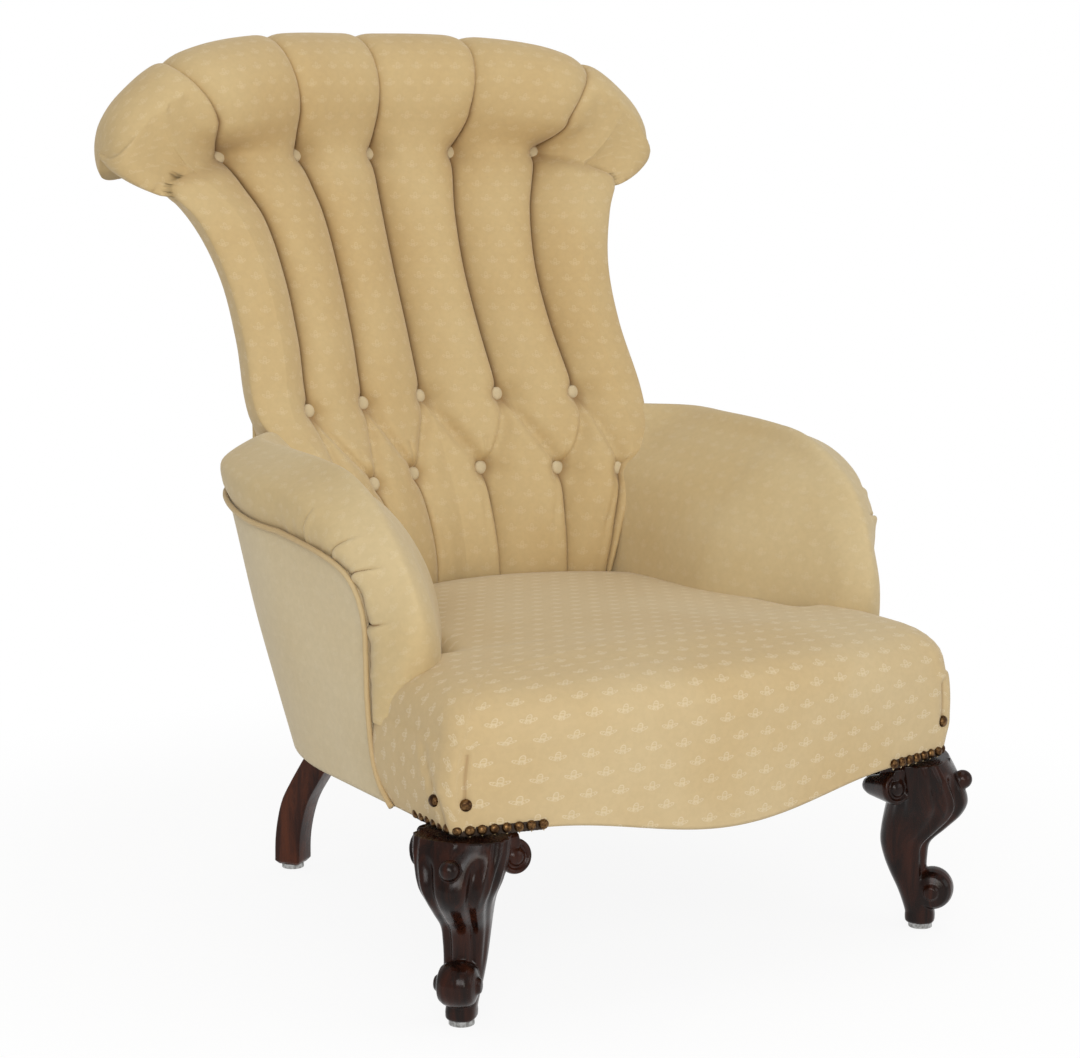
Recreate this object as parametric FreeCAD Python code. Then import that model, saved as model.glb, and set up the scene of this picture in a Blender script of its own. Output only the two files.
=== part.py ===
import FreeCAD, Part
import math
import os

# Low upholstered nursing chair with a fluted, buttoned back that rolls over at the top.
# Millimetres. +Z is up, +Y is to the back, x = 0 is the middle plane, and the floor is z = 0.
# The origin is on the floor under the middle of the overall box.

# Driving sizes of the whole chair
overall_width = 676.0
overall_depth = 832.0
overall_height = 900.0

# Seat
seat_width = 572.0
seat_line_height = 308.0
seat_crown = 18.0
seat_edge_height = 268.0
apron_corner_height = 183.0
apron_dip = 24.0
front_bow = 34.0
seat_corner_radius = 30.0
apron_corner_radius = 16.0
seat_shoulder_radius = 24.0
seat_roll = 50.0
seat_between_arms = 334.0
seat_cover_thickness = 4.0
seat_front_bulge = 5.0

# Back
lower_button_height = overall_height * 0.4711
middle_button_height = overall_height * 0.5556
upper_button_height = overall_height * 0.8500
back_stuffing = 30.0
flute_height = 26.0
seam_width = 3.0
roll_radius = overall_height * 0.0778
roll_flute = 11.0
edge_wrap = 12.0
outside_back_thickness = 3.0

# Arms
arm_height = 487.0
arm_welt_height = 422.0
arm_stuffing = 26.0
arm_spread = 632.0
arm_hollow_lean = 46.0
outside_arm_thickness = 3.0

# Frame timbers
rail_height = 52.0
rail_thickness = 25.0
rail_bottom_height = 191.0
leg_block_size = 44.0
upright_width = 34.0
upright_thickness = 19.0
foot_size = 30.0
arm_post_width = 30.0
arm_post_depth = 32.0
arm_rail_height = 20.0
arm_rail_width = 36.0
corner_block_size = 34.0

# Legs and feet
front_leg_height = 178.0
front_leg_spread = 536.0
front_leg_setback = 57.0
front_leg_flat = 82.0
rear_leg_spread = 378.0
rear_leg_setback = 571.0
rear_leg_rake = 78.0
rear_leg_turn = 35.0
glide_diameter = 24.0
glide_height = 5.0
knee_reach = 43.0
foot_scroll_radius = 20.5
foot_scroll_reach = 12.5
foot_scroll_height = 41.0
scroll_eye_radius = 7.5
ear_radius = 16.0
ear_length = 46.0
ear_across = 48.0
ear_forward = 18.0
ear_centre_height = 153.0
ear_rosette_radius = 9.0
ear_rosette_rise = 3.0

# Coverings and trim
welt_diameter = 5.0
button_diameter = 15.0
button_height = 5.0
nail_diameter = 9.6
nail_height = 3.6
nail_pitch = 11.2
gimp_height = 12.0
gimp_thickness = 1.4
gimp_front_length = 82.0
gimp_side_length = 58.0
web_width = 50.0
web_thickness = 2.0
hessian_thickness = 1.5
bottom_cloth_thickness = 1.2

# Clearances
clearance = 0.3
soft_clearance = 0.4
layer_clearance = 1.0
overrun = 60.0

front_y = -overall_depth / 2
half_width = overall_width / 2
half_seat = seat_width / 2
roll_axis_height = overall_height - roll_radius
up = FreeCAD.Vector(0, 0, 1)
os.makedirs("parts", exist_ok=True)


def point(x, y, z):
    return FreeCAD.Vector(x, y, z)


def depth(share):
    return front_y + share * overall_depth


def arc_points(a, middle, b, count):
    # Places along the arc from a through middle to b, without b itself
    return Part.Arc(a, middle, b).toShape().discretize(Number=count + 1)[:-1]


def bulge_points(a, b, offset, count=4):
    # Places along a shallow curve from a to b whose middle moves by the offset, without b itself
    shares = [k / count for k in range(count)]
    return [a + (b - a) * t + offset * (4 * t * (1 - t)) for t in shares]


def face(points):
    return Part.Face(Part.makePolygon(points + points[:1]))


def skin(rings):
    # A closed solid through rings of equally many points, made of flat facets
    faces = []
    for low, high in zip(rings, rings[1:]):
        for i in range(len(low)):
            a, b, c, d = low[i - 1], low[i], high[i], high[i - 1]
            halves = [[a, b, c], [a, c, d]] if (a - c).Length < (b - d).Length else [[a, b, d], [b, c, d]]
            faces += [face(half) for half in halves]
    faces += [face(rings[0]), face(rings[-1])]
    solid = Part.Solid(Part.Shell(faces))
    return solid if solid.Volume > 0 else solid.reversed()


def prism(points, direction):
    return face(points).extrude(direction)


def box(low, high):
    size = high - low
    return Part.makeBox(size.x, size.y, size.z, low)


def flip(place):
    return point(-place.x, place.y, place.z)


def mirror(shape):
    return shape.mirror(point(0, 0, 0), point(1, 0, 0))


def save(name, solids):
    shape = solids[0] if len(solids) == 1 else Part.makeCompound(solids)
    shape.exportStep("parts/" + name + ".step")
    print(name, len(shape.Solids), shape.isValid(), round(shape.Volume))


def save_pair(name, solids):
    save(name + "_right", solids)
    save(name + "_left", [mirror(solid) for solid in solids])


def mix(low, high, share):
    return low + (high - low) * share


def mix_rows(low, high, share):
    return [mix(a, b, share) for a, b in zip(low, high)]


def lookup(table, share, column):
    # A smooth curve through a table's rows, whose first column rises
    last = len(table) - 1
    i = max([k for k in range(last) if table[k][0] <= share] or [0])
    start, end = table[i], table[i + 1]
    t = min(1.0, max(0.0, (share - start[0]) / (end[0] - start[0])))
    before, after = table[max(i - 1, 0)], table[min(i + 2, last)]
    rise_in = (end[column] - before[column]) / (end[0] - before[0]) * (end[0] - start[0])
    rise_out = (after[column] - start[column]) / (after[0] - start[0]) * (end[0] - start[0])
    a = (2 * t ** 3 - 3 * t ** 2 + 1) * start[column] + (t ** 3 - 2 * t ** 2 + t) * rise_in
    b = (3 * t ** 2 - 2 * t ** 3) * end[column] + (t ** 3 - t ** 2) * rise_out
    return a + b


def disc(centre, axis, radius, sides=12):
    # A ring of points round an axis
    axis = point(axis.x, axis.y, axis.z).normalize()
    side = axis.cross(up if abs(axis.z) < axis_near_upright else point(1, 0, 0)).normalize()
    rise = side.cross(axis)
    turns = [2 * math.pi * k / sides for k in range(sides)]
    return [centre + side * (math.cos(turn) * radius) + rise * (math.sin(turn) * radius) for turn in turns]


axis_near_upright = 0.9


def dome(centre, axis, diameter, height, sides=10):
    # A low dome, such as a nail's head or a covered button, on a flat back
    axis = point(axis.x, axis.y, axis.z).normalize()
    return skin([disc(centre + axis * (height * rise), axis, diameter / 2 * width, sides) for rise, width in dome_shares])


dome_shares = ((0.00, 0.96), (0.30, 1.00), (0.78, 0.66), (1.00, 0.26))


def tube(path, diameter, sides=8):
    rings = []
    for i, place in enumerate(path):
        ahead = path[min(i + 1, len(path) - 1)] - path[max(i - 1, 0)]
        rings.append(disc(place, ahead, diameter / 2, sides))
    return skin(rings)


# The inside back as shares of the overall sizes: height, half width at the edge, depth of the
# middle seam, depth at the edge. The first row is the foot of the frame, under the seat.
back_shares = (
    (0.198, 0.530, 0.625, 0.575),
    (0.333, 0.444, 0.636, 0.556),
    (0.400, 0.468, 0.658, 0.550),
    (0.471, 0.548, 0.694, 0.556),
    (0.511, 0.636, 0.720, 0.586),
    (0.556, 0.704, 0.745, 0.640),
    (0.640, 0.692, 0.784, 0.690),
    (0.711, 0.704, 0.819, 0.726),
    (0.778, 0.761, 0.850, 0.758),
    (0.817, 0.843, 0.868, 0.790),
    (0.850, 0.925, 0.884, 0.822),
)
inside_back_start_share = 0.333
# Buttons across each row, from the middle out, as shares of the edge's half width at that row
upper_button_shares = (0.0, 0.313, 0.636)
middle_button_shares = (0.0, 0.357, 0.697)
lower_button_shares = (0.232, 0.621, 0.918)
seat_seam_shares = (0.267, 0.720, 0.960)
seam_curve = 1.2


def back_place(height):
    share = height / overall_height
    return [lookup(back_shares, share, column) for column in (1, 2, 3)]


def back_seam_y(x, height):
    width_share, middle_share, edge_share = back_place(height)
    across = min(1.0, abs(x) / (width_share * half_width))
    return depth(mix(middle_share, edge_share, across ** seam_curve))


def row_seams(height):
    # The seams across the back at this height: the five upper ones, then the six lower ones.
    half = back_place(height)[0] * half_width
    if height >= middle_button_height:
        t = (height - middle_button_height) / (upper_button_height - middle_button_height)
        main = [mix(a, b, t) for a, b in zip(middle_button_shares, upper_button_shares)]
        return half, [share * half for share in main], None, 1.0
    if height >= lower_button_height:
        t = (height - lower_button_height) / (middle_button_height - lower_button_height)
        main = list(middle_button_shares)
        low = list(lower_button_shares)
        return half, [share * half for share in main], [share * half for share in low], t
    t = (height - inside_back_start_share * overall_height) / (lower_button_height - inside_back_start_share * overall_height)
    low = [mix(a, b, max(0.0, t)) for a, b in zip(seat_seam_shares, lower_button_shares)]
    return half, [share * half for share in middle_button_shares], [share * half for share in low], 0.0


def seam_positions(height):
    # Twelve x places from left to right; each upper seam is a narrow strip between two of them,
    # which opens into a lower cell while the flute beside it closes to a narrow strip.
    half, upper, lower, open_share = row_seams(height)
    narrow = seam_width / 2
    right = []
    if lower is None:
        for x in upper:
            right += [x - narrow, x + narrow]
        right = right[1:]
    else:
        low_a, low_b, low_c = lower
        closed = (narrow, upper[1] - narrow, upper[1] + narrow, upper[2] - narrow, upper[2] + narrow)
        opened = (low_a - narrow, low_a + narrow, low_b - narrow, low_b + narrow, low_c)
        right = [mix(b, a, open_share) for a, b in zip(closed, opened)]
    return [-half] + [-x for x in reversed(right)] + right + [half]


# Fullness of the flutes by height share: little at the seat and at each row of buttons
fullness_shares = (
    (0.333, 0.45),
    (0.400, 0.90),
    (0.471, 0.35),
    (0.511, 0.60),
    (0.556, 0.40),
    (0.640, 1.00),
    (0.778, 1.00),
    (0.850, 0.45),
)


def inside_back_ring(height):
    fullness = lookup(fullness_shares, height / overall_height, 1)
    places = [point(x, back_seam_y(x, height), height) for x in seam_positions(height)]
    widest = max(b.x - a.x for a, b in zip(places, places[1:]))
    points = []
    for a, b in zip(places, places[1:]):
        share = (b.x - a.x) / widest
        points += bulge_points(a, b, point(0, -flute_height * fullness * share, 0))
    right = places[-1]
    rear = min(right.x, back_arc(height)[0]) - edge_wrap
    inset = stuffing_layer()
    back_right = point(rear, back_arc_y(rear, height, inset), height)
    points.append(right)
    points += [point(mix(rear, -rear, k / 20), back_arc_y(mix(rear, -rear, k / 20), height, inset), height)
               for k in range(20)]
    points.append(flip(back_right))
    return points


def inside_back_levels():
    levels = [row[0] for row in back_shares + outside_back_shares if row[0] >= inside_back_start_share]
    return [share * overall_height for share in sorted(set(levels))]


def make_inside_back():
    return skin([inside_back_ring(height) for height in inside_back_levels()])


# The outside back: height, half width, depth at its ends. Its middle lies behind the inside back.
outside_back_shares = (
    (0.198, 0.556, 0.625),
    (0.300, 0.620, 0.640),
    (0.467, 0.690, 0.665),
    (0.556, 0.630, 0.715),
    (0.640, 0.615, 0.758),
    (0.720, 0.650, 0.790),
    (0.790, 0.728, 0.832),
    (0.836, 0.845, 0.866),
    (0.850, 0.885, 0.874),
)


def web_layer():
    return outside_back_thickness + layer_clearance + upright_thickness + layer_clearance


def hessian_layer():
    return web_layer() + web_thickness + layer_clearance


def stuffing_layer():
    return hessian_layer() + hessian_thickness + layer_clearance


def back_arc(height):
    # Half width, centre and radius of the outside back's plan at this height
    share = height / overall_height
    half = lookup(outside_back_shares, share, 1) * half_width
    end_y = depth(lookup(outside_back_shares, share, 2))
    middle_y = depth(back_place(height)[1]) + back_stuffing + stuffing_layer()
    sag = middle_y - end_y
    radius = (half ** 2 + sag ** 2) / (2 * sag)
    return half, middle_y - radius, radius


def back_levels(low, high):
    # Heights shared by all the layers of the back, so that their facets match
    levels = [row[0] * overall_height for row in outside_back_shares]
    return [low] + [z for z in levels if low + rail_gap < z < high - rail_gap] + [high]


def back_arc_y(x, height, inset):
    # Straight from each shared level to the next
    levels = [row[0] * overall_height for row in outside_back_shares]
    i = max([k for k in range(len(levels) - 1) if levels[k] <= height] or [0])
    ends = []
    for level in levels[i:i + 2]:
        half, centre, radius = back_arc(level)
        ends.append(centre + math.sqrt((radius - inset) ** 2 - x ** 2))
    return mix(ends[0], ends[1], (height - levels[i]) / (levels[i + 1] - levels[i]))


def band_ring(height, left, right, inset, thickness, count):
    # A band of the back's layers between two x places, as thick as asked
    def place(x, depth_in):
        return point(x, back_arc_y(x, height, depth_in), height)
    places = [mix(left, right, k / count) for k in range(count + 1)]
    outer = [place(x, inset) for x in places]
    return outer + [place(x, inset + thickness) for x in reversed(places)]


def back_band(heights, half_at, inset, thickness, count=8):
    return skin([band_ring(height, -half_at(height), half_at(height), inset, thickness, count) for height in heights])


def make_outside_back():
    heights = [row[0] * overall_height for row in outside_back_shares]
    return back_band(heights, lambda height: back_arc(height)[0], 0, outside_back_thickness, 20)


def upright_half(height):
    return lookup(upright_shares, height / overall_height, 1) * half_width


def make_back_rail(shares):
    low, high = [share * overall_height for share in shares]
    inset = outside_back_thickness + layer_clearance

    def half_at(height):
        return upright_half(height) - upright_width / 2 - rail_gap

    rail = back_band(back_levels(low, high), half_at, inset, upright_thickness - layer_clearance, 14)
    leg = make_rear_leg()
    return rail.cut(leg).cut(mirror(leg))


def make_back_webbing():
    straps = []
    for share in back_web_shares:
        low = share * overall_height
        half = upright_half(low + web_width / 2) + upright_width / 3
        levels = back_levels(low, low + web_width)
        straps.append(back_band(levels, lambda height, half=half: half, web_layer(), web_thickness, 16))
    return straps


def make_back_hessian():
    low, high = hessian_low_share * overall_height, hessian_high_share * overall_height
    levels = back_levels(low, high)
    return back_band(levels, lambda height: upright_half(height) - hessian_edge, hessian_layer(), hessian_thickness, 16)


back_top_rail_shares = (0.8000, 0.8422)
back_stay_rail_shares = (0.3578, 0.3978)
back_web_shares = (0.372, 0.500, 0.630, 0.760)
hessian_low_share = 0.345
hessian_high_share = 0.843
hessian_edge = 4.0
rail_gap = 2.2


# The roll along the top, from the middle out: share of the half width, depth of its axis, height of
# its axis and thickness, the last two as shares of the roll's own axis height and radius.
roll_shares = (
    (-0.290, 0.900, 0.999, 1.000),
    (0.000, 0.921, 1.000, 1.000),
    (0.290, 0.900, 0.999, 1.000),
    (0.600, 0.855, 0.990, 0.960),
    (0.800, 0.845, 0.973, 0.810),
    (0.920, 0.842, 0.952, 0.600),
    (0.980, 0.840, 0.938, 0.400),
    (1.000, 0.840, 0.933, 0.200),
)
# Across each flute of the roll: place, and how much of the seam's depth is left there
roll_flute_shares = ((0.00, 1.00), (0.14, 0.45), (0.50, 0.00), (0.86, 0.45))
roll_end_shares = (0.780, 0.880, 0.950, 0.985, 1.000)
roll_sides = 20


def roll_ring(across, inset):
    row = [lookup(roll_shares, abs(across), column) for column in (1, 2, 3)]
    radius = roll_radius * row[2] - inset
    centre = point(across * half_width, depth(row[0]), roll_axis_height * row[1])
    return disc(centre, point(1, 0, 0), radius, roll_sides)


def roll_floor():
    return back_shares[-1][0] * overall_height + soft_clearance


def make_top_roll():
    seams = [share * back_shares[-1][1] for share in upper_button_shares]
    places = []
    for a, b in zip(seams, seams[1:]):
        places += [(mix(a, b, t), roll_flute * left) for t, left in roll_flute_shares]
    places += [(seams[-1], roll_flute)]
    places += [(mix(seams[-1], 1.0, 0.06), roll_flute * roll_flute_shares[1][1])]
    places += [(share, 0.0) for share in roll_end_shares]
    both = [(-share, inset) for share, inset in reversed(places) if share > 0] + places
    solid = skin([roll_ring(share, inset) for share, inset in both])
    return solid.cut(box(point(-overall_width, front_y, 0), point(overall_width, overall_depth, roll_floor())))


# The upright and rear leg in one. Below the seat: height, then how far the leg's middle has moved
# in from the foot along its own turn, as shares of the rake, and its size as a share of the foot's.
sabre_shares = (
    (0.006, 0.000, 1.00),
    (0.037, 0.012, 1.00),
    (0.064, 0.064, 1.02),
    (0.088, 0.150, 1.05),
    (0.110, 0.290, 1.08),
    (0.132, 0.445, 1.10),
    (0.160, 0.640, 1.10),
    (0.198, 0.860, 1.08),
    (0.255, 1.000, 1.00),
)
# Above the seat: height and half spread
upright_shares = (
    (0.340, 0.470),
    (0.440, 0.530),
    (0.556, 0.545),
    (0.640, 0.535),
    (0.720, 0.540),
    (0.790, 0.555),
    (0.845, 0.570),
)


def turned_rectangle(centre, along, across, degrees):
    turn = math.radians(degrees)
    a = point(math.cos(turn), math.sin(turn), 0) * (along / 2)
    b = point(-math.sin(turn), math.cos(turn), 0) * (across / 2)
    return [centre - a - b, centre + a - b, centre + a + b, centre - a + b]


def upright_place(height):
    # Middle and turn of the upright, against the inside of the outside back
    across = upright_half(height)
    inset = outside_back_thickness + layer_clearance + upright_thickness / 2
    inner, outer = [back_arc_y(across + reach, height, inset) for reach in (-upright_width / 2, upright_width / 2)]
    return point(across, (inner + outer) / 2, height), math.degrees(math.atan2(outer - inner, upright_width))


upright_ease = 0.4


def rear_leg_foot():
    return point(rear_leg_spread / 2, front_y + rear_leg_setback, 0)


def make_rear_leg():
    turn = math.radians(rear_leg_turn)
    inward = point(-math.sin(turn), -math.cos(turn), 0)
    glide_top = glide_height + clearance
    chamfer = foot_size * foot_chamfer_share
    small = foot_size - 2 * chamfer
    rings = [turned_rectangle(rear_leg_foot() + up * glide_top, small, small, -rear_leg_turn)]
    for height, along, size in sabre_shares:
        rise = max(height * overall_height, glide_top + chamfer)
        place = rear_leg_foot() + inward * (rear_leg_rake * along) + up * rise
        rings.append(turned_rectangle(place, foot_size * size, foot_size * size, -rear_leg_turn))
    for height in back_levels(upright_shares[0][0] * overall_height, upright_shares[-1][0] * overall_height):
        place, degrees = upright_place(height)
        rings.append(turned_rectangle(place, upright_width, upright_thickness - 2 * upright_ease, degrees))
    return skin(rings)


foot_chamfer_share = 0.12


# Front leg, in its own upright plane that points out over the corner: height share, then the front
# edge, the rear edge and the half width as shares of the knee's reach
front_leg_shares = (
    (0.000, 0.28, -0.30, 0.29),
    (0.095, 0.30, -0.40, 0.35),
    (0.200, 0.18, -0.55, 0.42),
    (0.310, 0.11, -0.76, 0.47),
    (0.400, 0.11, -0.90, 0.50),
    (0.490, 0.18, -0.98, 0.54),
    (0.580, 0.54, -0.96, 0.62),
    (0.670, 0.88, -0.90, 0.72),
    (0.755, 1.00, -0.84, 0.86),
    (0.880, 0.82, -0.80, 1.05),
    (1.000, 0.55, -0.78, 1.12),
)
# Where the leg's cross-section turns, as shares of its length and half width
front_leg_turn_shares = ((0.28, 0.72), (0.78, 0.80))
hollow_share = 0.10
side_bulge_share = 0.24


def front_leg_ring(row):
    bottom = glide_height + clearance
    z = bottom + row[0] * (front_leg_height - bottom)
    front, rear, wide = row[1] * knee_reach, row[2] * knee_reach, row[3] * knee_reach
    long = front - rear
    nose = point(front, 0, z)
    turn, back_turn = [point(front - long * a, wide * b, z) for a, b in front_leg_turn_shares]
    other_turn, other_back = [point(place.x, -place.y, z) for place in (turn, back_turn)]
    hollow, side = point(-long * hollow_share, -wide * hollow_share, 0), point(0, wide * side_bulge_share, 0)
    points = bulge_points(nose, turn, hollow, 3) + bulge_points(turn, back_turn, side, 3)
    points += arc_points(back_turn, point(rear, 0, z), other_back, 4)
    points += bulge_points(other_back, other_turn, side * -1, 3)
    return points + bulge_points(other_turn, nose, point(hollow.x, -hollow.y, 0), 3)


# The foot's scroll: place along its half length and its radius there, as shares of its radius
scroll_shares = ((-0.92, 0.50), (-0.60, 0.85), (-0.20, 1.00), (0.20, 1.00), (0.60, 0.85), (0.92, 0.50))


def front_leg_centre():
    return point(front_leg_spread / 2, front_y + front_leg_setback, 0)


def make_ear():
    # The rolled ear that runs back under the rail from the leg's shoulder
    front = point(-ear_across, -ear_forward, ear_centre_height)
    rear = front + point(0, ear_length, ear_radius * 0.45)
    middle = (front + rear) / 2
    along = point(0, 1, 0)
    roll = skin([
        disc(front, along, ear_radius * 0.90, 16), disc(front + along * ear_rosette_rise, along, ear_radius, 16),
        disc(middle, along, ear_radius * 0.82, 16), disc(rear, along, ear_radius * 0.55, 16),
    ])
    start = front - along * ear_rosette_rise
    rosette = skin([disc(start, along, ear_rosette_radius * 0.6, 12), disc(middle, along, ear_rosette_radius, 12)])
    return roll.fuse(rosette)


def make_front_leg():
    body = skin([front_leg_ring(row) for row in front_leg_shares])
    centre = point(foot_scroll_reach, 0, foot_scroll_height)
    across = point(0, 1, 0)
    scroll = skin([disc(centre + across * (a * foot_scroll_radius), across, foot_scroll_radius * r, 16)
                   for a, r in scroll_shares])
    low = centre + point(-foot_scroll_reach, 0, -foot_scroll_radius) * scroll_eye_share
    reach = across * foot_scroll_radius
    eye = skin([disc(low - reach, across, scroll_eye_radius, 12), disc(low + reach, across, scroll_eye_radius, 12)])
    leg = body.fuse(scroll).fuse(eye)
    leg.rotate(point(0, 0, 0), up, -45)
    front_ear = make_ear()
    side_ear = front_ear.mirror(point(0, 0, 0), point(1, 1, 0))
    leg = leg.fuse(front_ear).fuse(side_ear)
    leg.translate(front_leg_centre())
    low, high = block_corners()
    return leg.fuse(box(point(low.x, low.y, front_leg_height - nail_height), high))


scroll_eye_share = 0.75


def rail_outer_x():
    return half_seat - seat_front_bulge - seat_cover_thickness - soft_clearance


def rail_outer_y(x):
    return seat_front_y(x) + seat_front_bulge + seat_cover_thickness + soft_clearance


def block_corners():
    outer_x = rail_outer_x() - block_ease
    low = point(outer_x - leg_block_size, rail_outer_y(outer_x) + block_ease, rail_bottom_height)
    return low, low + point(leg_block_size, leg_block_size, rail_height)


# How far the square block stays inside the cover's round corner
block_ease = 4.0


# The seat's front edge in plan bows forward between the corners
def seat_front_y(x):
    across = min(1.0, abs(x) / (half_seat - seat_corner_radius))
    return front_y + front_bow * across * across


def seat_ring(inset, inner_inset, corner, height):
    # Front bow, round front corners, straight sides to the arms, then back between the arms
    side = half_seat - inset
    round_off = corner * (1 - math.sqrt(0.5))
    shoulder_y = depth(shoulder_share) - inner_inset
    inner = seat_between_arms / 2 - inner_inset
    round_in = seat_shoulder_radius * (1 - math.sqrt(0.5))
    front_corner = point(side - corner, seat_front_y(half_seat) + inset, height)
    side_start = point(side, front_corner.y + corner, height)
    middle = point(side - round_off, front_corner.y + round_off, height)
    bow = point(0, front_y + inset, height)
    right = arc_points(front_corner, middle, side_start, 4)
    right += [side_start, point(side, shoulder_y, height)]
    notch = point(inner + seat_shoulder_radius, shoulder_y, height)
    elbow_middle = point(inner + round_in, shoulder_y + round_in, height)
    elbow = point(inner, shoulder_y + seat_shoulder_radius, height)
    right += arc_points(notch, elbow_middle, elbow, 3) + [elbow]
    rear_corner = point(inner, depth(seat_rear_side_share) - inner_inset, height)
    rear_middle = point(0, depth(seat_rear_share) - inner_inset, height)
    front = arc_points(flip(front_corner), bow, front_corner, 10)
    rear = arc_points(rear_corner, rear_middle, flip(rear_corner), 8) + [flip(rear_corner)]
    return front + right + rear + [flip(place) for place in reversed(right[1:])]


shoulder_share = 0.226
seat_rear_share = 0.603
seat_rear_side_share = 0.530
# The seat's side view above the apron: share of the rise from edge to crown, front inset, inner inset
seat_side_shares = (
    (0.00, 0.00, 0.00),
    (0.30, 0.06, 0.00),
    (0.52, 0.28, 0.03),
    (0.66, 0.62, 0.15),
    (0.76, 1.10, 0.30),
)
# The crown above them: share of the rise, and of the last outline's size
seat_crown_shares = ((0.90, 0.72), (1.00, 0.36))
seat_crown_centre_share = 0.140


def seat_solid(inset, base):
    rise = seat_line_height + seat_crown - seat_edge_height
    rings = [seat_ring(inset + apron_inset(base), inset, apron_corner_radius, base)]
    for share, front_share, inner_share in seat_side_shares:
        height = seat_edge_height + share * rise - inset
        corner = mix(apron_corner_radius, seat_corner_radius, min(1.0, 2 * share))
        rings.append(seat_ring(inset + front_share * seat_roll, inset + inner_share * seat_roll, corner, height))
    centre = point(0, depth(seat_crown_centre_share), 0)
    last = rings[-1]
    for share, size in seat_crown_shares:
        height = seat_edge_height + share * rise - inset
        flat = [centre + (point(place.x, place.y, 0) - centre) * size for place in last]
        rings.append([point(place.x, place.y, height) for place in flat])
    return skin(rings)


def apron_inset(height):
    # The apron leans in towards its lower edge
    low = apron_corner_height - apron_dip
    return seat_front_bulge * (seat_edge_height - height) / (seat_edge_height - low)


def apron_cut(lift):
    # Everything under the apron's lower edge, which dips between the front legs
    corner, low = apron_corner_height + lift, apron_corner_height - apron_dip + lift
    start = front_y - overrun
    leg_side = half_seat - front_leg_flat
    shaped = [point(-half_width, start, corner)]
    for k in range(13):
        x = mix(-leg_side, leg_side, k / 12)
        wave = (1 + math.cos(math.pi * x / leg_side)) / 2
        shaped.append(point(x, start, corner - (corner - low) * wave))
    shaped += [point(half_width, start, corner), point(half_width, start, 0), point(-half_width, start, 0)]
    return prism(shaped, point(0, overall_depth + overrun, 0))


def seat_base():
    # Top of the hessian that the seat's stuffing lies on
    return webbing_top() + clearance + hessian_thickness + soft_clearance


def webbing_top():
    return rail_bottom_height + rail_height + clearance + web_thickness


def make_seat_cover():
    base = apron_corner_height - apron_dip
    outer = seat_solid(0, base)
    inner = seat_solid(seat_cover_thickness, base - clearance)
    behind = depth(shoulder_share) - seat_cover_thickness - clearance
    below = box(point(-half_width, behind, 0), point(half_width, overall_depth, seat_base()))
    return outer.cut(inner).cut(apron_cut(0)).cut(below)


def make_seat_stuffing():
    return seat_solid(seat_cover_thickness + soft_clearance, seat_base())


def make_seat_hessian():
    inset = seat_cover_thickness + soft_clearance + seat_front_bulge
    low = webbing_top() + clearance
    rings = [seat_ring(inset, inset, apron_corner_radius, z) for z in (low, low + hessian_thickness)]
    return skin(rings)


def make_front_rail():
    low, high = block_corners()
    end = low.x - clearance
    rings = []
    for z in (apron_corner_height - apron_dip, high.z):
        outer = arc_points(point(-end, rail_outer_y(end), z), point(0, rail_outer_y(0), z), point(end, rail_outer_y(end), z), 10)
        outer.append(point(end, rail_outer_y(end), z))
        inner = [place + point(0, rail_thickness, 0) for place in reversed(outer)]
        rings.append(outer + inner)
    return skin(rings).cut(apron_cut(2 * seat_cover_thickness))


def make_side_rail():
    low, high = block_corners()
    rings = []
    for z in (low.z, high.z):
        outer = side_rail_edge(z, 0)
        rings.append(outer + list(reversed(side_rail_edge(z, rail_thickness))))
    return skin(rings).cut(make_rear_leg())


def side_rail_edge(z, inset):
    low, high = block_corners()
    start, bend, end = [point(half_width * a, depth(b), z) for a, b in side_rail_shares]
    shift = point(rail_outer_x() - block_ease - inset, 0, 0)
    front = point(shift.x, high.y + clearance, z)
    turn = point(shift.x, start.y, z)
    inward = point(-inset, 0, 0) + point(0, -inset, 0) * rail_end_share
    return [front] + arc_points(turn, bend + inward * 0.9, end + inward, 6) + [end + inward]


# Plan of the side rail behind the front leg: half width and depth
side_rail_shares = ((0.000, 0.360), (0.745, 0.485), (0.470, 0.607))
rail_end_share = 0.72


def make_back_seat_rail():
    low, high = block_corners()
    y = depth(back_rail_share)
    half = rear_leg_spread / 2 - rear_leg_rake * math.sin(math.radians(rear_leg_turn))
    rail = box(point(-half, y, low.z), point(half, y + rail_thickness, high.z))
    for piece in (make_rear_leg(), make_side_rail()):
        rail = rail.cut(piece).cut(mirror(piece))
    return rail


back_rail_share = 0.592


def make_corner_blocks():
    # Glued blocks inside the front corners
    low, high = block_corners()
    a = point(low.x - clearance, rail_outer_y(low.x) + rail_thickness + 2 * clearance, low.z)
    b = point(rail_outer_x() - block_ease - rail_thickness - clearance, high.y + clearance, low.z)
    corner = point(low.x - clearance, b.y, low.z)
    points = [a, a + point(-corner_block_size, 0, 0), point(b.x - corner_block_size, b.y + corner_block_size, low.z)]
    points += [point(b.x, b.y + corner_block_size, low.z), b, corner]
    block = prism(points, up * rail_height)
    return [block, mirror(block)]


def make_seat_webbing():
    low = rail_bottom_height + rail_height + clearance
    straps = []
    for share in web_across_shares:
        x = share * half_width
        straps.append(box(point(x - web_width / 2, depth(0.075), low), point(x + web_width / 2, depth(0.618), low + web_thickness)))
    for share, reach in web_along_shares:
        y = depth(share)
        half = reach * half_width
        straps.append(box(point(-half, y - web_width / 2, low), point(half, y + web_width / 2, low + web_thickness)))
    grid = straps[0]
    for strap in straps[1:]:
        grid = grid.fuse(strap)
    leg = make_rear_leg()
    return grid.cut(leg).cut(mirror(leg)).removeSplitter()


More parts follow.
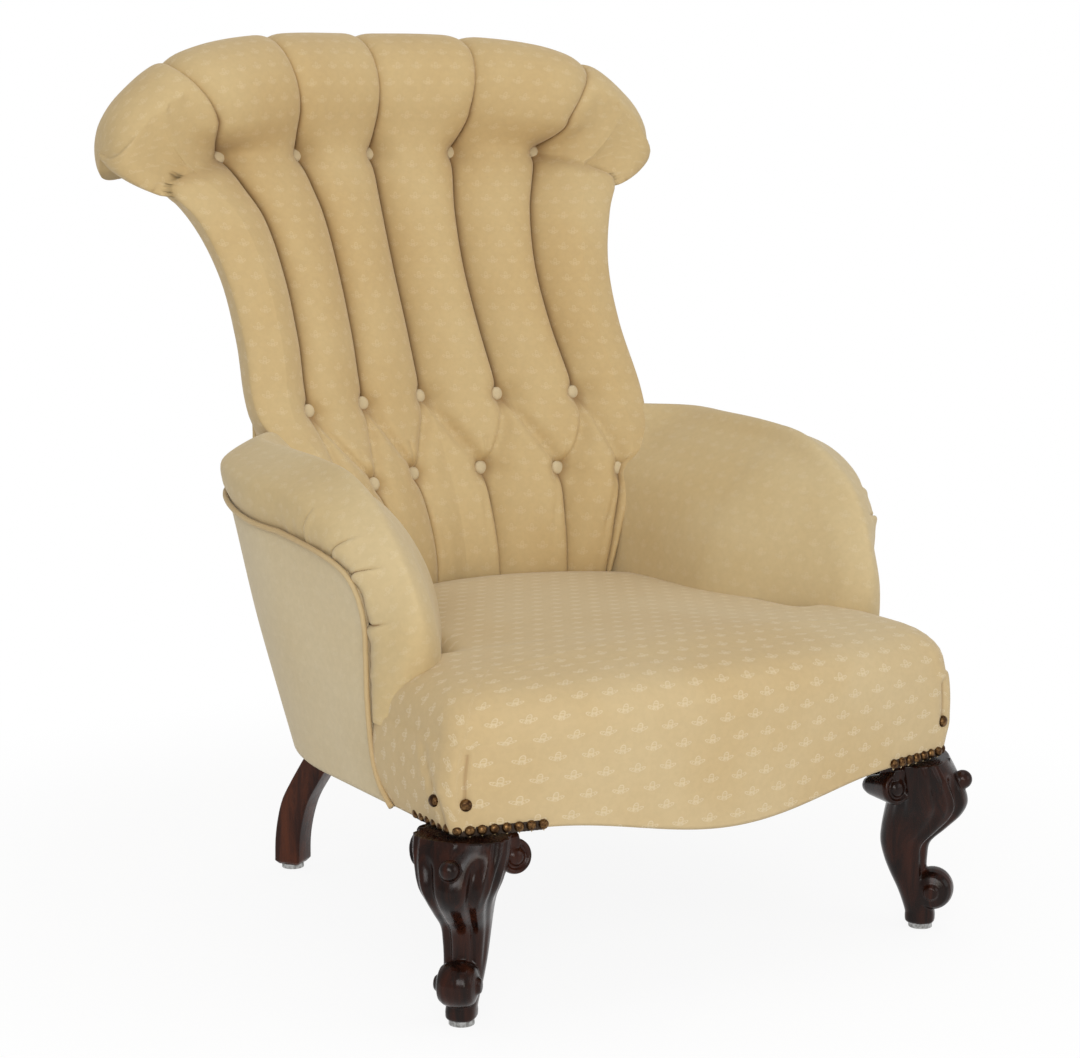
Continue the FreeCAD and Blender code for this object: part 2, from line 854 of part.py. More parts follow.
web_across_shares = (-0.400, -0.200, 0.000, 0.200, 0.400)
web_along_shares = ((0.130, 0.760), (0.300, 0.760), (0.410, 0.740), (0.520, 0.600))


# Arm pad: depth along the arm, height of the crown, inner and outer x, as shares of the overall
# depth, the arm's height and half the spread of the arms
arm_shares = (
    (0.134, 0.700, 0.800, 0.840),
    (0.142, 0.790, 0.740, 0.858),
    (0.162, 0.860, 0.670, 0.892),
    (0.195, 0.925, 0.600, 0.940),
    (0.240, 0.975, 0.560, 0.985),
    (0.300, 1.000, 0.545, 1.000),
    (0.420, 1.000, 0.530, 1.005),
    (0.505, 1.000, 0.505, 0.985),
    (0.580, 1.000, 0.500, 0.945),
    (0.655, 1.000, 0.500, 0.800),
)
arm_base_share = 0.86
arm_welt_share = 0.71
# Across the arm's section: where the inner side ends and the crown lies
arm_side_share = 0.26
arm_side_rise_share = 0.84
arm_crown_share = 0.60


def arm_ring(row):
    y = depth(row[0])
    top, inner, outer = row[1] * arm_height, row[2] * arm_spread / 2, row[3] * arm_spread / 2
    base = seat_line_height * arm_base_share
    rise, wide = top - base, outer - inner
    a = point(inner, y, base)
    b = point(inner + wide * arm_side_share, y, base + rise * arm_side_rise_share)
    crown = point(inner + wide * arm_crown_share, y, top)
    c = point(outer, y, base + rise * arm_welt_share)
    d = point(outer - wide * 0.04, y, base)
    points = bulge_points(a, b, point(-wide * 0.04, 0, rise * 0.03), 4) + arc_points(b, crown, c, 8)
    return points + bulge_points(c, d, point(wide * 0.02, 0, 0), 2) + [d]


def arm_hollow():
    # The room behind the arm's padding for the post, the rail and the outside panel
    top = arm_welt_height + arm_rail_lift
    base = rail_bottom_height
    inner = arm_shares[5][2] * arm_spread / 2 + arm_stuffing
    start = depth(arm_post_share) - arm_post_depth / 2 - soft_clearance
    outline = [
        point(inner, start, base),
        point(inner + arm_hollow_lean * 0.75, start, top - arm_stuffing),
        point(inner + arm_hollow_lean, start, top),
        point(half_width, start, top),
        point(half_width, start, base),
    ]
    return prism(outline, point(0, overall_depth, 0))


arm_rail_lift = 6.0
arm_post_share = 0.250


def back_room():
    # The inside back and all that lies behind it, a little larger, where the arm ends
    low, high = inside_back_start_share * overall_height - overrun, arm_height + overrun
    reach = stuffing_layer() + soft_clearance
    behind = back_band(back_levels(low, high), lambda height: back_arc(height)[0] + clearance, -overrun,
                       overrun + reach, 24)
    levels = [height for height in inside_back_levels() if height < high + overrun]
    rings = [inside_back_ring(height) for height in levels]
    rings = [[place - point(0, 0, overrun) for place in rings[0]]] + rings
    moved = [[point(place.x * arm_room_share, place.y - 2 * soft_clearance, place.z) for place in ring] for ring in rings]
    return behind.fuse(skin(moved))


arm_room_share = 1.004


def make_arm_pad():
    pad = skin([arm_ring(row) for row in arm_shares])
    seat = seat_solid(-soft_clearance, rail_bottom_height)
    top = arm_welt_height + clearance
    outside = side_shell(-overrun, overrun + outside_arm_thickness + clearance, 0, top)
    pad = pad.cut(arm_hollow()).cut(seat).cut(outside).cut(back_room()).cut(make_rear_leg())
    return pad.cut(tube(arm_piping_path(), welt_diameter + 2 * soft_clearance))


# Plan of the outside arm panel, front to back, low and high: half width and depth. The front point's
# depth comes from the welt, whose height and depth follow.
outside_low_shares = ((0.848, 0.186), (0.842, 0.360), (0.785, 0.485), (0.562, 0.6215))
outside_high_shares = ((0.930, 0.190), (0.950, 0.360), (0.932, 0.510), (0.705, 0.6590))
# The welt up the panel's front edge: height, depth and half width
welt_shares = (
    (0.203, 0.186, 0.850),
    (0.220, 0.206, 0.856),
    (0.248, 0.218, 0.860),
    (0.310, 0.226, 0.860),
    (0.352, 0.232, 0.852),
    (0.391, 0.212, 0.870),
    (0.426, 0.192, 0.900),
    (0.446, 0.212, 0.922),
    (0.460, 0.255, 0.938),
    (0.469, 0.330, 0.944),
)


def side_plan(height, inset):
    # Front, start of the round corner, its middle and its end, moved inwards by the inset
    share = (height - apron_corner_height) / (arm_welt_height - apron_corner_height)
    rows = [mix_rows(a, b, share) for a, b in zip(outside_low_shares, outside_high_shares)]
    front, start, middle, end = [point(row[0] * half_width, depth(row[1]), height) for row in rows]
    front.y = depth(lookup(welt_shares, height / overall_height, 1))
    front.x = half_width * lookup(welt_shares, height / overall_height, 2)
    centre = Part.Arc(start, middle, end).toShape().Curve.Center
    moved = [front - point(inset, 0, 0), start - point(inset, 0, 0)]
    return moved + [place + (centre - place).normalize() * inset for place in (middle, end)]


def panel_ring(height, inset, thickness):
    a, b, c, d = side_plan(height, inset)
    e, f, g, h = side_plan(height, inset + thickness)
    return [a] + arc_points(b, c, d, 6) + [d] + arc_points(h, g, f, 6) + [f, e]


def side_shell(inset, thickness, first, last):
    heights = [row[0] * overall_height for row in welt_shares]
    heights = heights + [last] if last > heights[-1] else heights
    return skin([panel_ring(height, inset, thickness) for height in heights])


def make_outside_arm():
    return side_shell(0, outside_arm_thickness, apron_corner_height, arm_welt_height)


def post_ring(height, width, thickness, share):
    x = side_plan(height, outside_arm_thickness + clearance)[0].x
    y = depth(share)
    return [point(x - width, y - thickness / 2, height), point(x, y - thickness / 2, height),
            point(x, y + thickness / 2, height), point(x - width, y + thickness / 2, height)]


def make_arm_post():
    low = rail_bottom_height + rail_height + clearance
    high = arm_welt_height - arm_rail_height
    between = [row[0] * overall_height for row in welt_shares if low < row[0] * overall_height < high]
    heights = [low] + between + [high]
    return skin([post_ring(z, arm_post_width, arm_post_depth, arm_post_share) for z in heights])


def make_arm_rail():
    low = arm_welt_height - arm_rail_height + clearance
    high = arm_welt_height
    rings = []
    for z in (low, high):
        inset = outside_arm_thickness + clearance + arm_rail_ease
        a, b, c, d = side_plan(z, inset)
        e, f, g, h = side_plan(z, inset + arm_rail_width)
        a.y = e.y = depth(arm_post_share) - arm_post_depth / 2
        rings.append([a] + arc_points(b, c, d, 6) + [d] + arc_points(h, g, f, 6) + [f, e])
    return skin(rings).common(arm_hollow()).cut(back_room())


arm_rail_ease = 5.0


def arm_piping_path():
    reach = -welt_diameter / 2 - clearance
    path = [side_plan(row[0] * overall_height, reach)[0] for row in welt_shares]
    top = path[-1].z
    a, b, c, d = side_plan(top, reach)
    return path + arc_points(b, c, d, 6) + [d]


def make_arm_piping():
    return tube(arm_piping_path(), welt_diameter)


def back_piping_path():
    path = []
    for row in outside_back_shares[2:]:
        height = row[0] * overall_height
        half = back_arc(height)[0]
        shift = point(welt_diameter / 2 + soft_clearance, -outside_back_thickness, 0)
        path.append(point(half, back_arc_y(half, height, 0), height) + shift)
    path[-1].z -= welt_diameter
    return path


def make_back_piping():
    right = tube(back_piping_path(), welt_diameter)
    return [right, mirror(right)]


# Where the sixteen buttons sit: height and x places, row by row
def button_places():
    places = []
    rows = ((upper_button_height, upper_button_shares), (middle_button_height, middle_button_shares),
            (lower_button_height, lower_button_shares))
    for height, shares in rows:
        half = back_place(height)[0] * half_width
        for share in shares:
            for side in (-1, 1) if share > 0 else (1,):
                x = side * share * half
                places.append(point(x, back_seam_y(x, height), height))
    return places


button_tilt = 15.0


def button_axis():
    tilt = math.radians(button_tilt)
    return point(0, -math.cos(tilt), math.sin(tilt))


def button_pockets():
    axis = button_axis()
    radius = button_diameter / 2 + soft_clearance
    return [skin([disc(place - axis * soft_clearance, axis, radius, 10), disc(place + axis * flute_height * 2, axis, radius, 10)])
            for place in button_places()]


def make_buttons():
    return [dome(place, button_axis(), button_diameter, button_height) for place in button_places()]


def gimp_path(inset):
    # Along the apron's lower edge round the front right corner, from the side to the front
    ring = seat_ring(inset, 0, apron_corner_radius, apron_corner_height)
    front, corner = ring[8:10], ring[10:15]
    chord = (front[1] - corner[0]).Length
    front_end = front[1] + (front[0] - front[1]) * ((gimp_front_length - chord) / chord)
    side_end = corner[-1] + point(0, gimp_side_length, 0)
    return [side_end] + list(reversed(corner)) + [front[1], front_end]


def gimp_inset():
    return apron_inset(apron_corner_height + gimp_height) - clearance


def make_gimp():
    inner = gimp_path(gimp_inset())
    outer = gimp_path(gimp_inset() - gimp_thickness)
    low = inner + list(reversed(outer))
    return skin([low, [place + up * gimp_height for place in low]])


def along_path(path, distance):
    for a, b in zip(path, path[1:]):
        length = (b - a).Length
        if distance <= length:
            run = (b - a).normalize()
            return a + run * distance, point(-run.y, run.x, 0)
        distance -= length
    return None


def nail_spots():
    path = gimp_path(gimp_inset() - gimp_thickness - clearance)
    total = sum((b - a).Length for a, b in zip(path, path[1:]))
    count = int((total - nail_diameter) / nail_pitch)
    spots = [along_path(path, nail_diameter / 2 + k * nail_pitch) for k in range(count + 1)]
    return [(place + up * (gimp_height / 2), normal) for place, normal in spots]


def make_leg_nails():
    return [dome(place, normal, nail_diameter, nail_height, 8) for place, normal in nail_spots()]


def make_glide(foot):
    return skin([disc(foot + up * rise, up, glide_diameter / 2, 20) for rise in (0, glide_height)])


def make_bottom_cloth():
    low, high = block_corners()
    z = rail_bottom_height - clearance - bottom_cloth_thickness
    front = rail_outer_y(0) + rail_thickness + clearance
    edge = side_rail_edge(z, rail_thickness * 0.5)
    points = [point(edge[0].x, low.y + rail_thickness * 1.6, z)] + edge[1:]
    points += [flip(place) for place in reversed(points)]
    cloth = prism(points, up * bottom_cloth_thickness)
    for leg in (right_rear_leg, mirror(right_rear_leg), right_front_leg, mirror(right_front_leg)):
        cloth = cloth.cut(leg)
    return cloth


pockets = Part.makeCompound(button_pockets())
save("inside_back", [make_inside_back().cut(pockets)])
save("top_roll", [make_top_roll().cut(pockets)])
save("outside_back", [make_outside_back()])
right_rear_leg = make_rear_leg()
right_front_leg = make_front_leg()
save_pair("rear_leg", [right_rear_leg])
save_pair("front_leg", [right_front_leg])
save("seat_cover", [make_seat_cover()])
save("seat_stuffing", [make_seat_stuffing()])
save("seat_hessian", [make_seat_hessian()])
save("seat_webbing", [make_seat_webbing()])
save("front_seat_rail", [make_front_rail()])
save_pair("side_seat_rail", [make_side_rail()])
save("back_seat_rail", [make_back_seat_rail()])
save("corner_blocks", make_corner_blocks())
save("bottom_cloth", [make_bottom_cloth()])
save_pair("arm_pad", [make_arm_pad()])
save_pair("outside_arm", [make_outside_arm()])
save_pair("arm_post", [make_arm_post()])
save_pair("arm_rail", [make_arm_rail()])
save_pair("arm_piping", [make_arm_piping()])
save("back_top_rail", [make_back_rail(back_top_rail_shares)])
save("back_stay_rail", [make_back_rail(back_stay_rail_shares)])
save("back_webbing", make_back_webbing())
save("back_hessian", [make_back_hessian()])
save("back_piping", make_back_piping())
save("back_buttons", make_buttons())
save_pair("gimp", [make_gimp()])
save_pair("leg_nails", make_leg_nails())
save("front_glides", [make_glide(front_leg_centre()), make_glide(flip(front_leg_centre()))])
save("rear_glides", [make_glide(rear_leg_foot()), make_glide(flip(rear_leg_foot()))])
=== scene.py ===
import bpy
import bmesh
import math
import numpy as np
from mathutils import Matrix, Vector


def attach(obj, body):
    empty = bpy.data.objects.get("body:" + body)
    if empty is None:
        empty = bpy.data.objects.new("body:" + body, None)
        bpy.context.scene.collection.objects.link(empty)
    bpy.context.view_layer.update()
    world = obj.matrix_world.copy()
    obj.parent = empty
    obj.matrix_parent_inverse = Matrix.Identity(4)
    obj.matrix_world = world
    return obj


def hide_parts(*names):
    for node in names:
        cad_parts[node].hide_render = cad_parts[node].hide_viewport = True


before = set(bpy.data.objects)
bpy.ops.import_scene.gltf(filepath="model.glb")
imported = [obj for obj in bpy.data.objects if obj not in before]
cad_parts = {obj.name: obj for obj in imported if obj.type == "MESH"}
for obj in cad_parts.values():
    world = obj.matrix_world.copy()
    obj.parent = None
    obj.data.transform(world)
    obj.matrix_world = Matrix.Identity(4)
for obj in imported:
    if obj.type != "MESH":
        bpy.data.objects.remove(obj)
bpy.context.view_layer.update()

# Low nursing chair with a fluted, buttoned back that rolls over at the top. Metres. +Z is up, +Y is
# to the back, and the origin is on the floor under the middle of the chair.

WIDTH, DEPTH, HEIGHT = 0.676, 0.832, 0.900
HALF_WIDTH = WIDTH / 2
FRONT_Y = -DEPTH / 2
EPSILON = 1e-5

# Back: heights of the rows of buttons, the fullness of the flutes, the roll along the top
SEAT_END_HEIGHT = 0.300
LOWER_BUTTON_HEIGHT = 0.424
MIDDLE_BUTTON_HEIGHT = 0.500
UPPER_BUTTON_HEIGHT = 0.765
BACK_STUFFING = 0.0595
STUFFING_LAYER = 0.0295
SEAM_SINK = 0.007
ROLL_RADIUS = 0.070
ROLL_FLUTE = 0.016
SEAM_CURVE = 1.2
BUTTON_DIAMETER = 0.0155
BUTTON_HEIGHT = 0.006
BUTTON_SINK = 0.0045
WELT_DIAMETER = 0.0055

# Seat
HALF_SEAT = 0.286
SEAT_BOW = 0.034
SEAT_EDGE_HEIGHT = 0.268
SEAT_RISE = 0.058
SEAT_ROLL = 0.050
SEAT_CORNER = 0.030
APRON_CORNER = 0.016
APRON_CORNER_HEIGHT = 0.183
APRON_DIP = 0.024
SEAT_FRONT_BULGE = 0.005
SEAT_INNER_HALF = 0.167
SEAT_FRONT_INNER_HALF = 0.205
SEAT_SIDE_BULGE = 0.006
SEAT_SHOULDER_RADIUS = 0.024
SEAT_SHOULDER_Y = FRONT_Y + 0.226 * DEPTH
SEAT_REAR_Y = FRONT_Y + 0.603 * DEPTH
SEAT_REAR_SIDE_Y = FRONT_Y + 0.530 * DEPTH
SEAT_CENTRE_Y = FRONT_Y + 0.140 * DEPTH
LEG_FLAT = 0.082

# Arms: the stuffing turns over the front about one line through the foot of the arm
ARM_WELT_HEIGHT = 0.422
ARM_REAR_Y = 0.129
ARM_TURN_Y = -0.110
ARM_TURN_HEIGHT = 0.275
ARM_TURN_END = math.radians(97)
PANEL_THICKNESS = 0.003

# The pattern of the damask: pitch across, pitch between rows, thread pitch
SPRIG_ACROSS = 0.0226
SPRIG_UP = 0.0190
THREAD = 0.0007

# Tables in shares of the chair's own sizes, each with a rising first column
BACK_SHARES = (
    (0.198, 0.530, 0.625, 0.575), (0.333, 0.444, 0.636, 0.556), (0.400, 0.468, 0.658, 0.550),
    (0.471, 0.548, 0.694, 0.556), (0.511, 0.636, 0.720, 0.586), (0.556, 0.704, 0.745, 0.640),
    (0.640, 0.692, 0.784, 0.690), (0.711, 0.704, 0.819, 0.726), (0.778, 0.761, 0.850, 0.758),
    (0.817, 0.843, 0.868, 0.790), (0.850, 0.925, 0.884, 0.822),
)
OUTSIDE_BACK_SHARES = (
    (0.198, 0.556, 0.625), (0.300, 0.620, 0.640), (0.467, 0.690, 0.665), (0.556, 0.630, 0.715),
    (0.640, 0.615, 0.758), (0.720, 0.650, 0.790), (0.790, 0.728, 0.832), (0.836, 0.845, 0.866),
    (0.850, 0.885, 0.874),
)
# How far the stuffing stands in front of the seams, by height in metres
FLUTE_LIFT = (
    (0.300, 0.012), (0.340, 0.022), (0.390, 0.027), (0.424, 0.025), (0.462, 0.026), (0.500, 0.026),
    (0.560, 0.029), (0.700, 0.029), (0.740, 0.030), (0.765, 0.0325),
)
ROLL_SHARES = (
    (-0.290, 0.900, 0.999, 1.000), (0.000, 0.921, 1.000, 1.000), (0.290, 0.900, 0.999, 1.000),
    (0.600, 0.857, 0.988, 0.975), (0.800, 0.846, 0.968, 0.870), (0.910, 0.842, 0.948, 0.720),
    (0.968, 0.840, 0.936, 0.550), (0.993, 0.840, 0.931, 0.330), (1.000, 0.840, 0.930, 0.000),
)
# Seams across the back, from the middle out, at four heights: main seams and cell middles in turn
ANCHOR_SHARES = (
    (0.300, 0.0, 0.267, 0.490, 0.720, 0.840, 0.960, 1.0),
    (0.424, 0.0, 0.232, 0.430, 0.621, 0.770, 0.918, 1.0),
    (0.500, 0.0, 0.180, 0.357, 0.527, 0.697, 0.850, 1.0),
    (0.765, 0.0, 0.157, 0.313, 0.475, 0.636, 0.818, 1.0),
)
# The same seams where they end behind the roll
ROLL_ANCHORS = (0.0, 0.178, 0.355, 0.560, 0.765, 0.885, 1.0)
MAIN_ANCHORS = (0, 2, 4)
CELL_ANCHORS = (1, 3, 5)
# The gap from each anchor to the next, of which the last wraps round the edge
OUTER_GAP = 5
GAP_COLUMNS = 18
WRAP_COLUMNS = 10
LOW_ROWS, CELL_ROWS, HIGH_ROWS = 32, 42, 80
FOLD_ROWS, FOLD_HEIGHT = 32, 0.712
BACK_ROWS = LOW_ROWS + CELL_ROWS + HIGH_ROWS
JOIN_ROWS = 14
ROLL_ROWS = 64
ROLL_START, ROLL_END = math.radians(75), math.radians(330)

# Sections of the arm: place along it (millimetres behind the turn, then degrees round it), reach from the
# foot, x beyond the welt at three shares of the gap from welt to crown, x of the crown, then x down the
# inner side
ARM_GAP_SHARES = (0.30, 0.64, 0.90)
ARM_INNER_SHARES = (1.0, 0.92, 0.82, 0.68, 0.50, 0.30, 0.0)
ARM_SECTIONS = (
    (-239, 0.212, 0.006, 0.002, -0.012, 0.200, 0.178, 0.166, 0.157, 0.151, 0.148, 0.146),
    (-170, 0.214, 0.008, 0.008, -0.020, 0.262, 0.228, 0.196, 0.168, 0.156, 0.151, 0.148),
    (-110, 0.213, 0.007, 0.004, -0.030, 0.264, 0.236, 0.204, 0.175, 0.162, 0.156, 0.153),
    (0, 0.210, 0.006, 0.002, -0.034, 0.266, 0.252, 0.223, 0.195, 0.172, 0.160, 0.158),
    (26, 0.203, 0.004, -0.005, -0.028, 0.267, 0.249, 0.228, 0.205, 0.182, 0.166, 0.158),
    (39, 0.198, 0.003, -0.009, -0.024, 0.267, 0.246, 0.230, 0.210, 0.188, 0.170, 0.158),
    (66, 0.184, 0.004, -0.004, -0.014, 0.259, 0.238, 0.227, 0.213, 0.195, 0.176, 0.158),
    (85, 0.161, 0.004, -0.001, -0.011, 0.253, 0.233, 0.222, 0.209, 0.193, 0.175, 0.158),
    (97, 0.152, 0.004, 0.000, -0.010, 0.252, 0.232, 0.221, 0.208, 0.192, 0.175, 0.158),
)
# Pleats round the front of the arm: turn in degrees
ARM_PLEATS = (14.0, 31.0, 42.0, 57.0)
# The outside arm panel in plan behind its front edge, at the foot and at the welt: half width and depth
PANEL_LOW_SHARES = ((0.842, 0.360), (0.785, 0.485), (0.562, 0.6215))
PANEL_HIGH_SHARES = ((0.950, 0.400), (0.944, 0.510), (0.705, 0.6590))
# The panel's front edge and the welt along it: height, depth and half width
WELT_SHARES = (
    (0.203, 0.186, 0.840), (0.220, 0.206, 0.846), (0.248, 0.218, 0.854), (0.310, 0.226, 0.860),
    (0.352, 0.232, 0.855), (0.391, 0.2308, 0.862), (0.426, 0.2320, 0.887), (0.446, 0.2536, 0.905),
    (0.460, 0.3005, 0.929), (0.469, 0.3800, 0.944),
)
# The panel's top edge climbs towards the back
PANEL_CLIMB = 0.016

# Front leg in its upright plane over the corner: height share, front, rear and half width in knee reaches
FRONT_LEG_HEIGHT = 0.178
GLIDE_TOP = 0.0053
KNEE_REACH = 0.043
FRONT_LEG_PLACE = (0.268, FRONT_Y + 0.057)
FRONT_LEG_SHARES = (
    (0.000, 0.28, -0.30, 0.29), (0.095, 0.30, -0.40, 0.35), (0.200, 0.18, -0.55, 0.42),
    (0.310, 0.11, -0.76, 0.47), (0.400, 0.11, -0.90, 0.50), (0.490, 0.18, -0.98, 0.54),
    (0.580, 0.54, -0.96, 0.62), (0.670, 0.88, -0.90, 0.72), (0.755, 1.00, -0.84, 0.86),
    (0.880, 0.82, -0.80, 0.99), (1.000, 0.55, -0.78, 1.02),
)
# Rear leg: height, forward sweep and thickness shares up to the seat, then height and half spread above it
REAR_LEG_PLACE = (0.189, FRONT_Y + 0.571)
REAR_LEG_SIZE, REAR_LEG_RAKE, REAR_LEG_TURN = 0.030, 0.078, math.radians(35)
SABRE_SHARES = (
    (0.006, 0.000, 1.00), (0.037, 0.012, 1.00), (0.064, 0.064, 1.02), (0.088, 0.150, 1.05),
    (0.110, 0.290, 1.08), (0.132, 0.445, 1.10), (0.160, 0.640, 1.10), (0.198, 0.860, 1.08),
    (0.255, 1.000, 1.00),
)


def mix(low, high, share):
    return low + (high - low) * share


def depth(share):
    return FRONT_Y + share * DEPTH


def curve(table, share, column):
    # A smooth curve through a table's rows
    last = len(table) - 1
    i = max([k for k in range(last) if table[k][0] <= share] or [0])
    start, end = table[i], table[i + 1]
    t = min(1.0, max(0.0, (share - start[0]) / (end[0] - start[0])))
    before, after = table[max(i - 1, 0)], table[min(i + 2, last)]
    rise_in = (end[column] - before[column]) / (end[0] - before[0]) * (end[0] - start[0])
    rise_out = (after[column] - start[column]) / (after[0] - start[0]) * (end[0] - start[0])
    a = (2 * t ** 3 - 3 * t ** 2 + 1) * start[column] + (t ** 3 - 2 * t ** 2 + t) * rise_in
    b = (3 * t ** 2 - 2 * t ** 3) * end[column] + (t ** 3 - t ** 2) * rise_out
    return a + b


def ease(share):
    share = np.clip(share, 0.0, 1.0)
    return share * share * (3 - 2 * share)


def pillow(share):
    # Rises steeply from a seam and levels off at the middle of the stuffing
    share = np.clip(share, 0.0, 1.0)
    return np.sqrt(1 - (1 - share) ** 2)


def smooth_path(points, count):
    # Evenly spaced places on a smooth curve through the points
    points = np.array(points, float)
    steps = np.linalg.norm(np.diff(points, axis=0), axis=1)
    at = np.concatenate([[0], np.cumsum(steps)])
    rows = [tuple([at[i]] + list(points[i])) for i in range(len(at))]
    return np.array([[curve(rows, s, c) for c in range(1, points.shape[1] + 1)]
                     for s in np.linspace(0, at[-1], count)])


# Making meshes

def link(name, mesh, material):
    piece = bpy.data.objects.new(name, mesh)
    bpy.context.scene.collection.objects.link(piece)
    if material:
        mesh.materials.append(material)
    return piece


def make_mesh(name, points, faces, uvs=None, material=None, crease_shading=None, merge=EPSILON):
    # A smooth mesh; uvs has one pair for each face corner, and the last list says how deep each point lies in
    # a fold, for the painted shade there
    mesh = bpy.data.meshes.new(name)
    mesh.from_pydata([tuple(p) for p in points], [], [tuple(f) for f in faces])
    if crease_shading is not None:
        folds = mesh.attributes.new("crease", "FLOAT", "POINT")
        folds.data.foreach_set("value", np.array(crease_shading, np.float32))
    if uvs is not None:
        layer = mesh.uv_layers.new(name="UVMap")
        layer.data.foreach_set("uv", np.asarray(uvs, float).ravel())
    work = bmesh.new()
    work.from_mesh(mesh)
    bmesh.ops.remove_doubles(work, verts=work.verts, dist=merge)
    bmesh.ops.recalc_face_normals(work, faces=work.faces)
    work.to_mesh(mesh)
    work.free()
    mesh.polygons.foreach_set("use_smooth", [True] * len(mesh.polygons))
    return link(name, mesh, material)


def grid_faces(rows, columns, start=0, loop=False):
    faces = []
    for r in range(rows - 1):
        for c in range(columns if loop else columns - 1):
            a, b = start + r * columns + c, start + r * columns + (c + 1) % columns
            faces.append((a, b, b + columns, a + columns))
    return faces


def corner_uvs(faces, uv):
    return [uv[i] for face in faces for i in face]


def ring_solid(name, rings, uv=None, material=None, crease_shading=None):
    # Closed mesh through rings of equally many points, with a flat fan at each end
    rings = np.array(rings)
    rows, columns = rings.shape[:2]
    points = list(rings.reshape(-1, 3)) + [rings[0].mean(0), rings[-1].mean(0)]
    faces = grid_faces(rows, columns, loop=True)
    low, high = rows * columns, rows * columns + 1
    last = (rows - 1) * columns
    faces += [(low, (c + 1) % columns, c) for c in range(columns)]
    faces += [(high, last + c, last + (c + 1) % columns) for c in range(columns)]
    uvs = None
    if uv is not None:
        flat = list(uv.reshape(-1, 2)) + [uv[0].mean(0), uv[-1].mean(0)]
        uvs = corner_uvs(faces, flat)
    return make_mesh(name, points, faces, uvs, material, crease_shading)


def tube(name, path, diameter, material, sides=12):
    path = np.array(path)
    ahead = np.gradient(path, axis=0)
    ahead /= np.linalg.norm(ahead, axis=1)[:, None]
    side = np.cross(ahead[0], [0, 0, 1.0] if abs(ahead[0][2]) < 0.9 else [1.0, 0, 0])
    rings, uv, run = [], [], 0.0
    for i, place in enumerate(path):
        side = side - ahead[i] * side.dot(ahead[i])
        side /= np.linalg.norm(side)
        other = np.cross(ahead[i], side)
        run += np.linalg.norm(place - path[max(i - 1, 0)])
        turns = np.linspace(0, 2 * math.pi, sides, endpoint=False)
        rings.append(place + (np.cos(turns)[:, None] * side + np.sin(turns)[:, None] * other) * diameter / 2)
        uv.append([(run, turn * diameter / 2) for turn in turns])
    return ring_solid(name, rings, np.array(uv), material)


def mirrored(piece, name):
    mesh = piece.data.copy()
    work = bmesh.new()
    work.from_mesh(mesh)
    for vert in work.verts:
        vert.co.x = -vert.co.x
    bmesh.ops.reverse_faces(work, faces=work.faces)
    work.to_mesh(mesh)
    work.free()
    return link(name, mesh, None)


def dress(piece, slot, *nodes):
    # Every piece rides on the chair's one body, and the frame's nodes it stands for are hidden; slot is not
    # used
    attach(piece, "root")
    if nodes:
        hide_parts(*nodes)
    return piece


def dress_pair(right, slot, node=None):
    # Dresses a piece of the right side and its mirror on the left; node is the frame's name without its side
    left = mirrored(right, right.name.replace("_right", "_left"))
    for piece, side in ((right, "_right"), (left, "_left")):
        dress(piece, slot, *([node + side] if node else []))
    return right, left


# Materials

def new_group(name, inputs, outputs):
    group = bpy.data.node_groups.new(name, "ShaderNodeTree")
    for label, kind, value in inputs:
        socket = group.interface.new_socket(name=label, in_out="INPUT", socket_type="NodeSocket" + kind)
        if value is not None:
            socket.default_value = value
    for label, kind in outputs:
        group.interface.new_socket(name=label, in_out="OUTPUT", socket_type="NodeSocket" + kind)
    return group, group.nodes.new("NodeGroupInput"), group.nodes.new("NodeGroupOutput")


class Wires:
    # Short calls for placing and joining nodes of one tree
    def __init__(self, tree):
        self.tree = tree

    def feed(self, socket, value):
        if isinstance(value, bpy.types.NodeSocket):
            self.tree.links.new(value, socket)
        elif value is not None:
            socket.default_value = value

    def math(self, kind, a, b=None, c=None, clamp=False):
        node = self.tree.nodes.new("ShaderNodeMath")
        node.operation, node.use_clamp = kind, clamp
        for socket, value in zip(node.inputs, (a, b, c)):
            self.feed(socket, value)
        return node.outputs[0]

    def node(self, kind, out=0, settings=(), **inputs):
        node = self.tree.nodes.new("ShaderNode" + kind)
        for key, value in dict(settings).items():
            setattr(node, key, value)
        for key, value in inputs.items():
            self.feed(node.inputs[key.replace("_", " ")], value)
        return node.outputs[out]

    def place(self, group, **inputs):
        node = self.tree.nodes.new("ShaderNodeGroup")
        node.node_tree = group
        for key, value in inputs.items():
            self.feed(node.inputs[key.replace("_", " ")], value)
        return node.outputs

    def step(self, value, low, high, a=0.0, b=1.0):
        node = self.tree.nodes.new("ShaderNodeMapRange")
        node.interpolation_type = "SMOOTHSTEP"
        self.feed(node.inputs[0], value)
        for socket, setting in zip(list(node.inputs)[1:5], (low, high, a, b)):
            self.feed(socket, setting)
        return node.outputs[0]


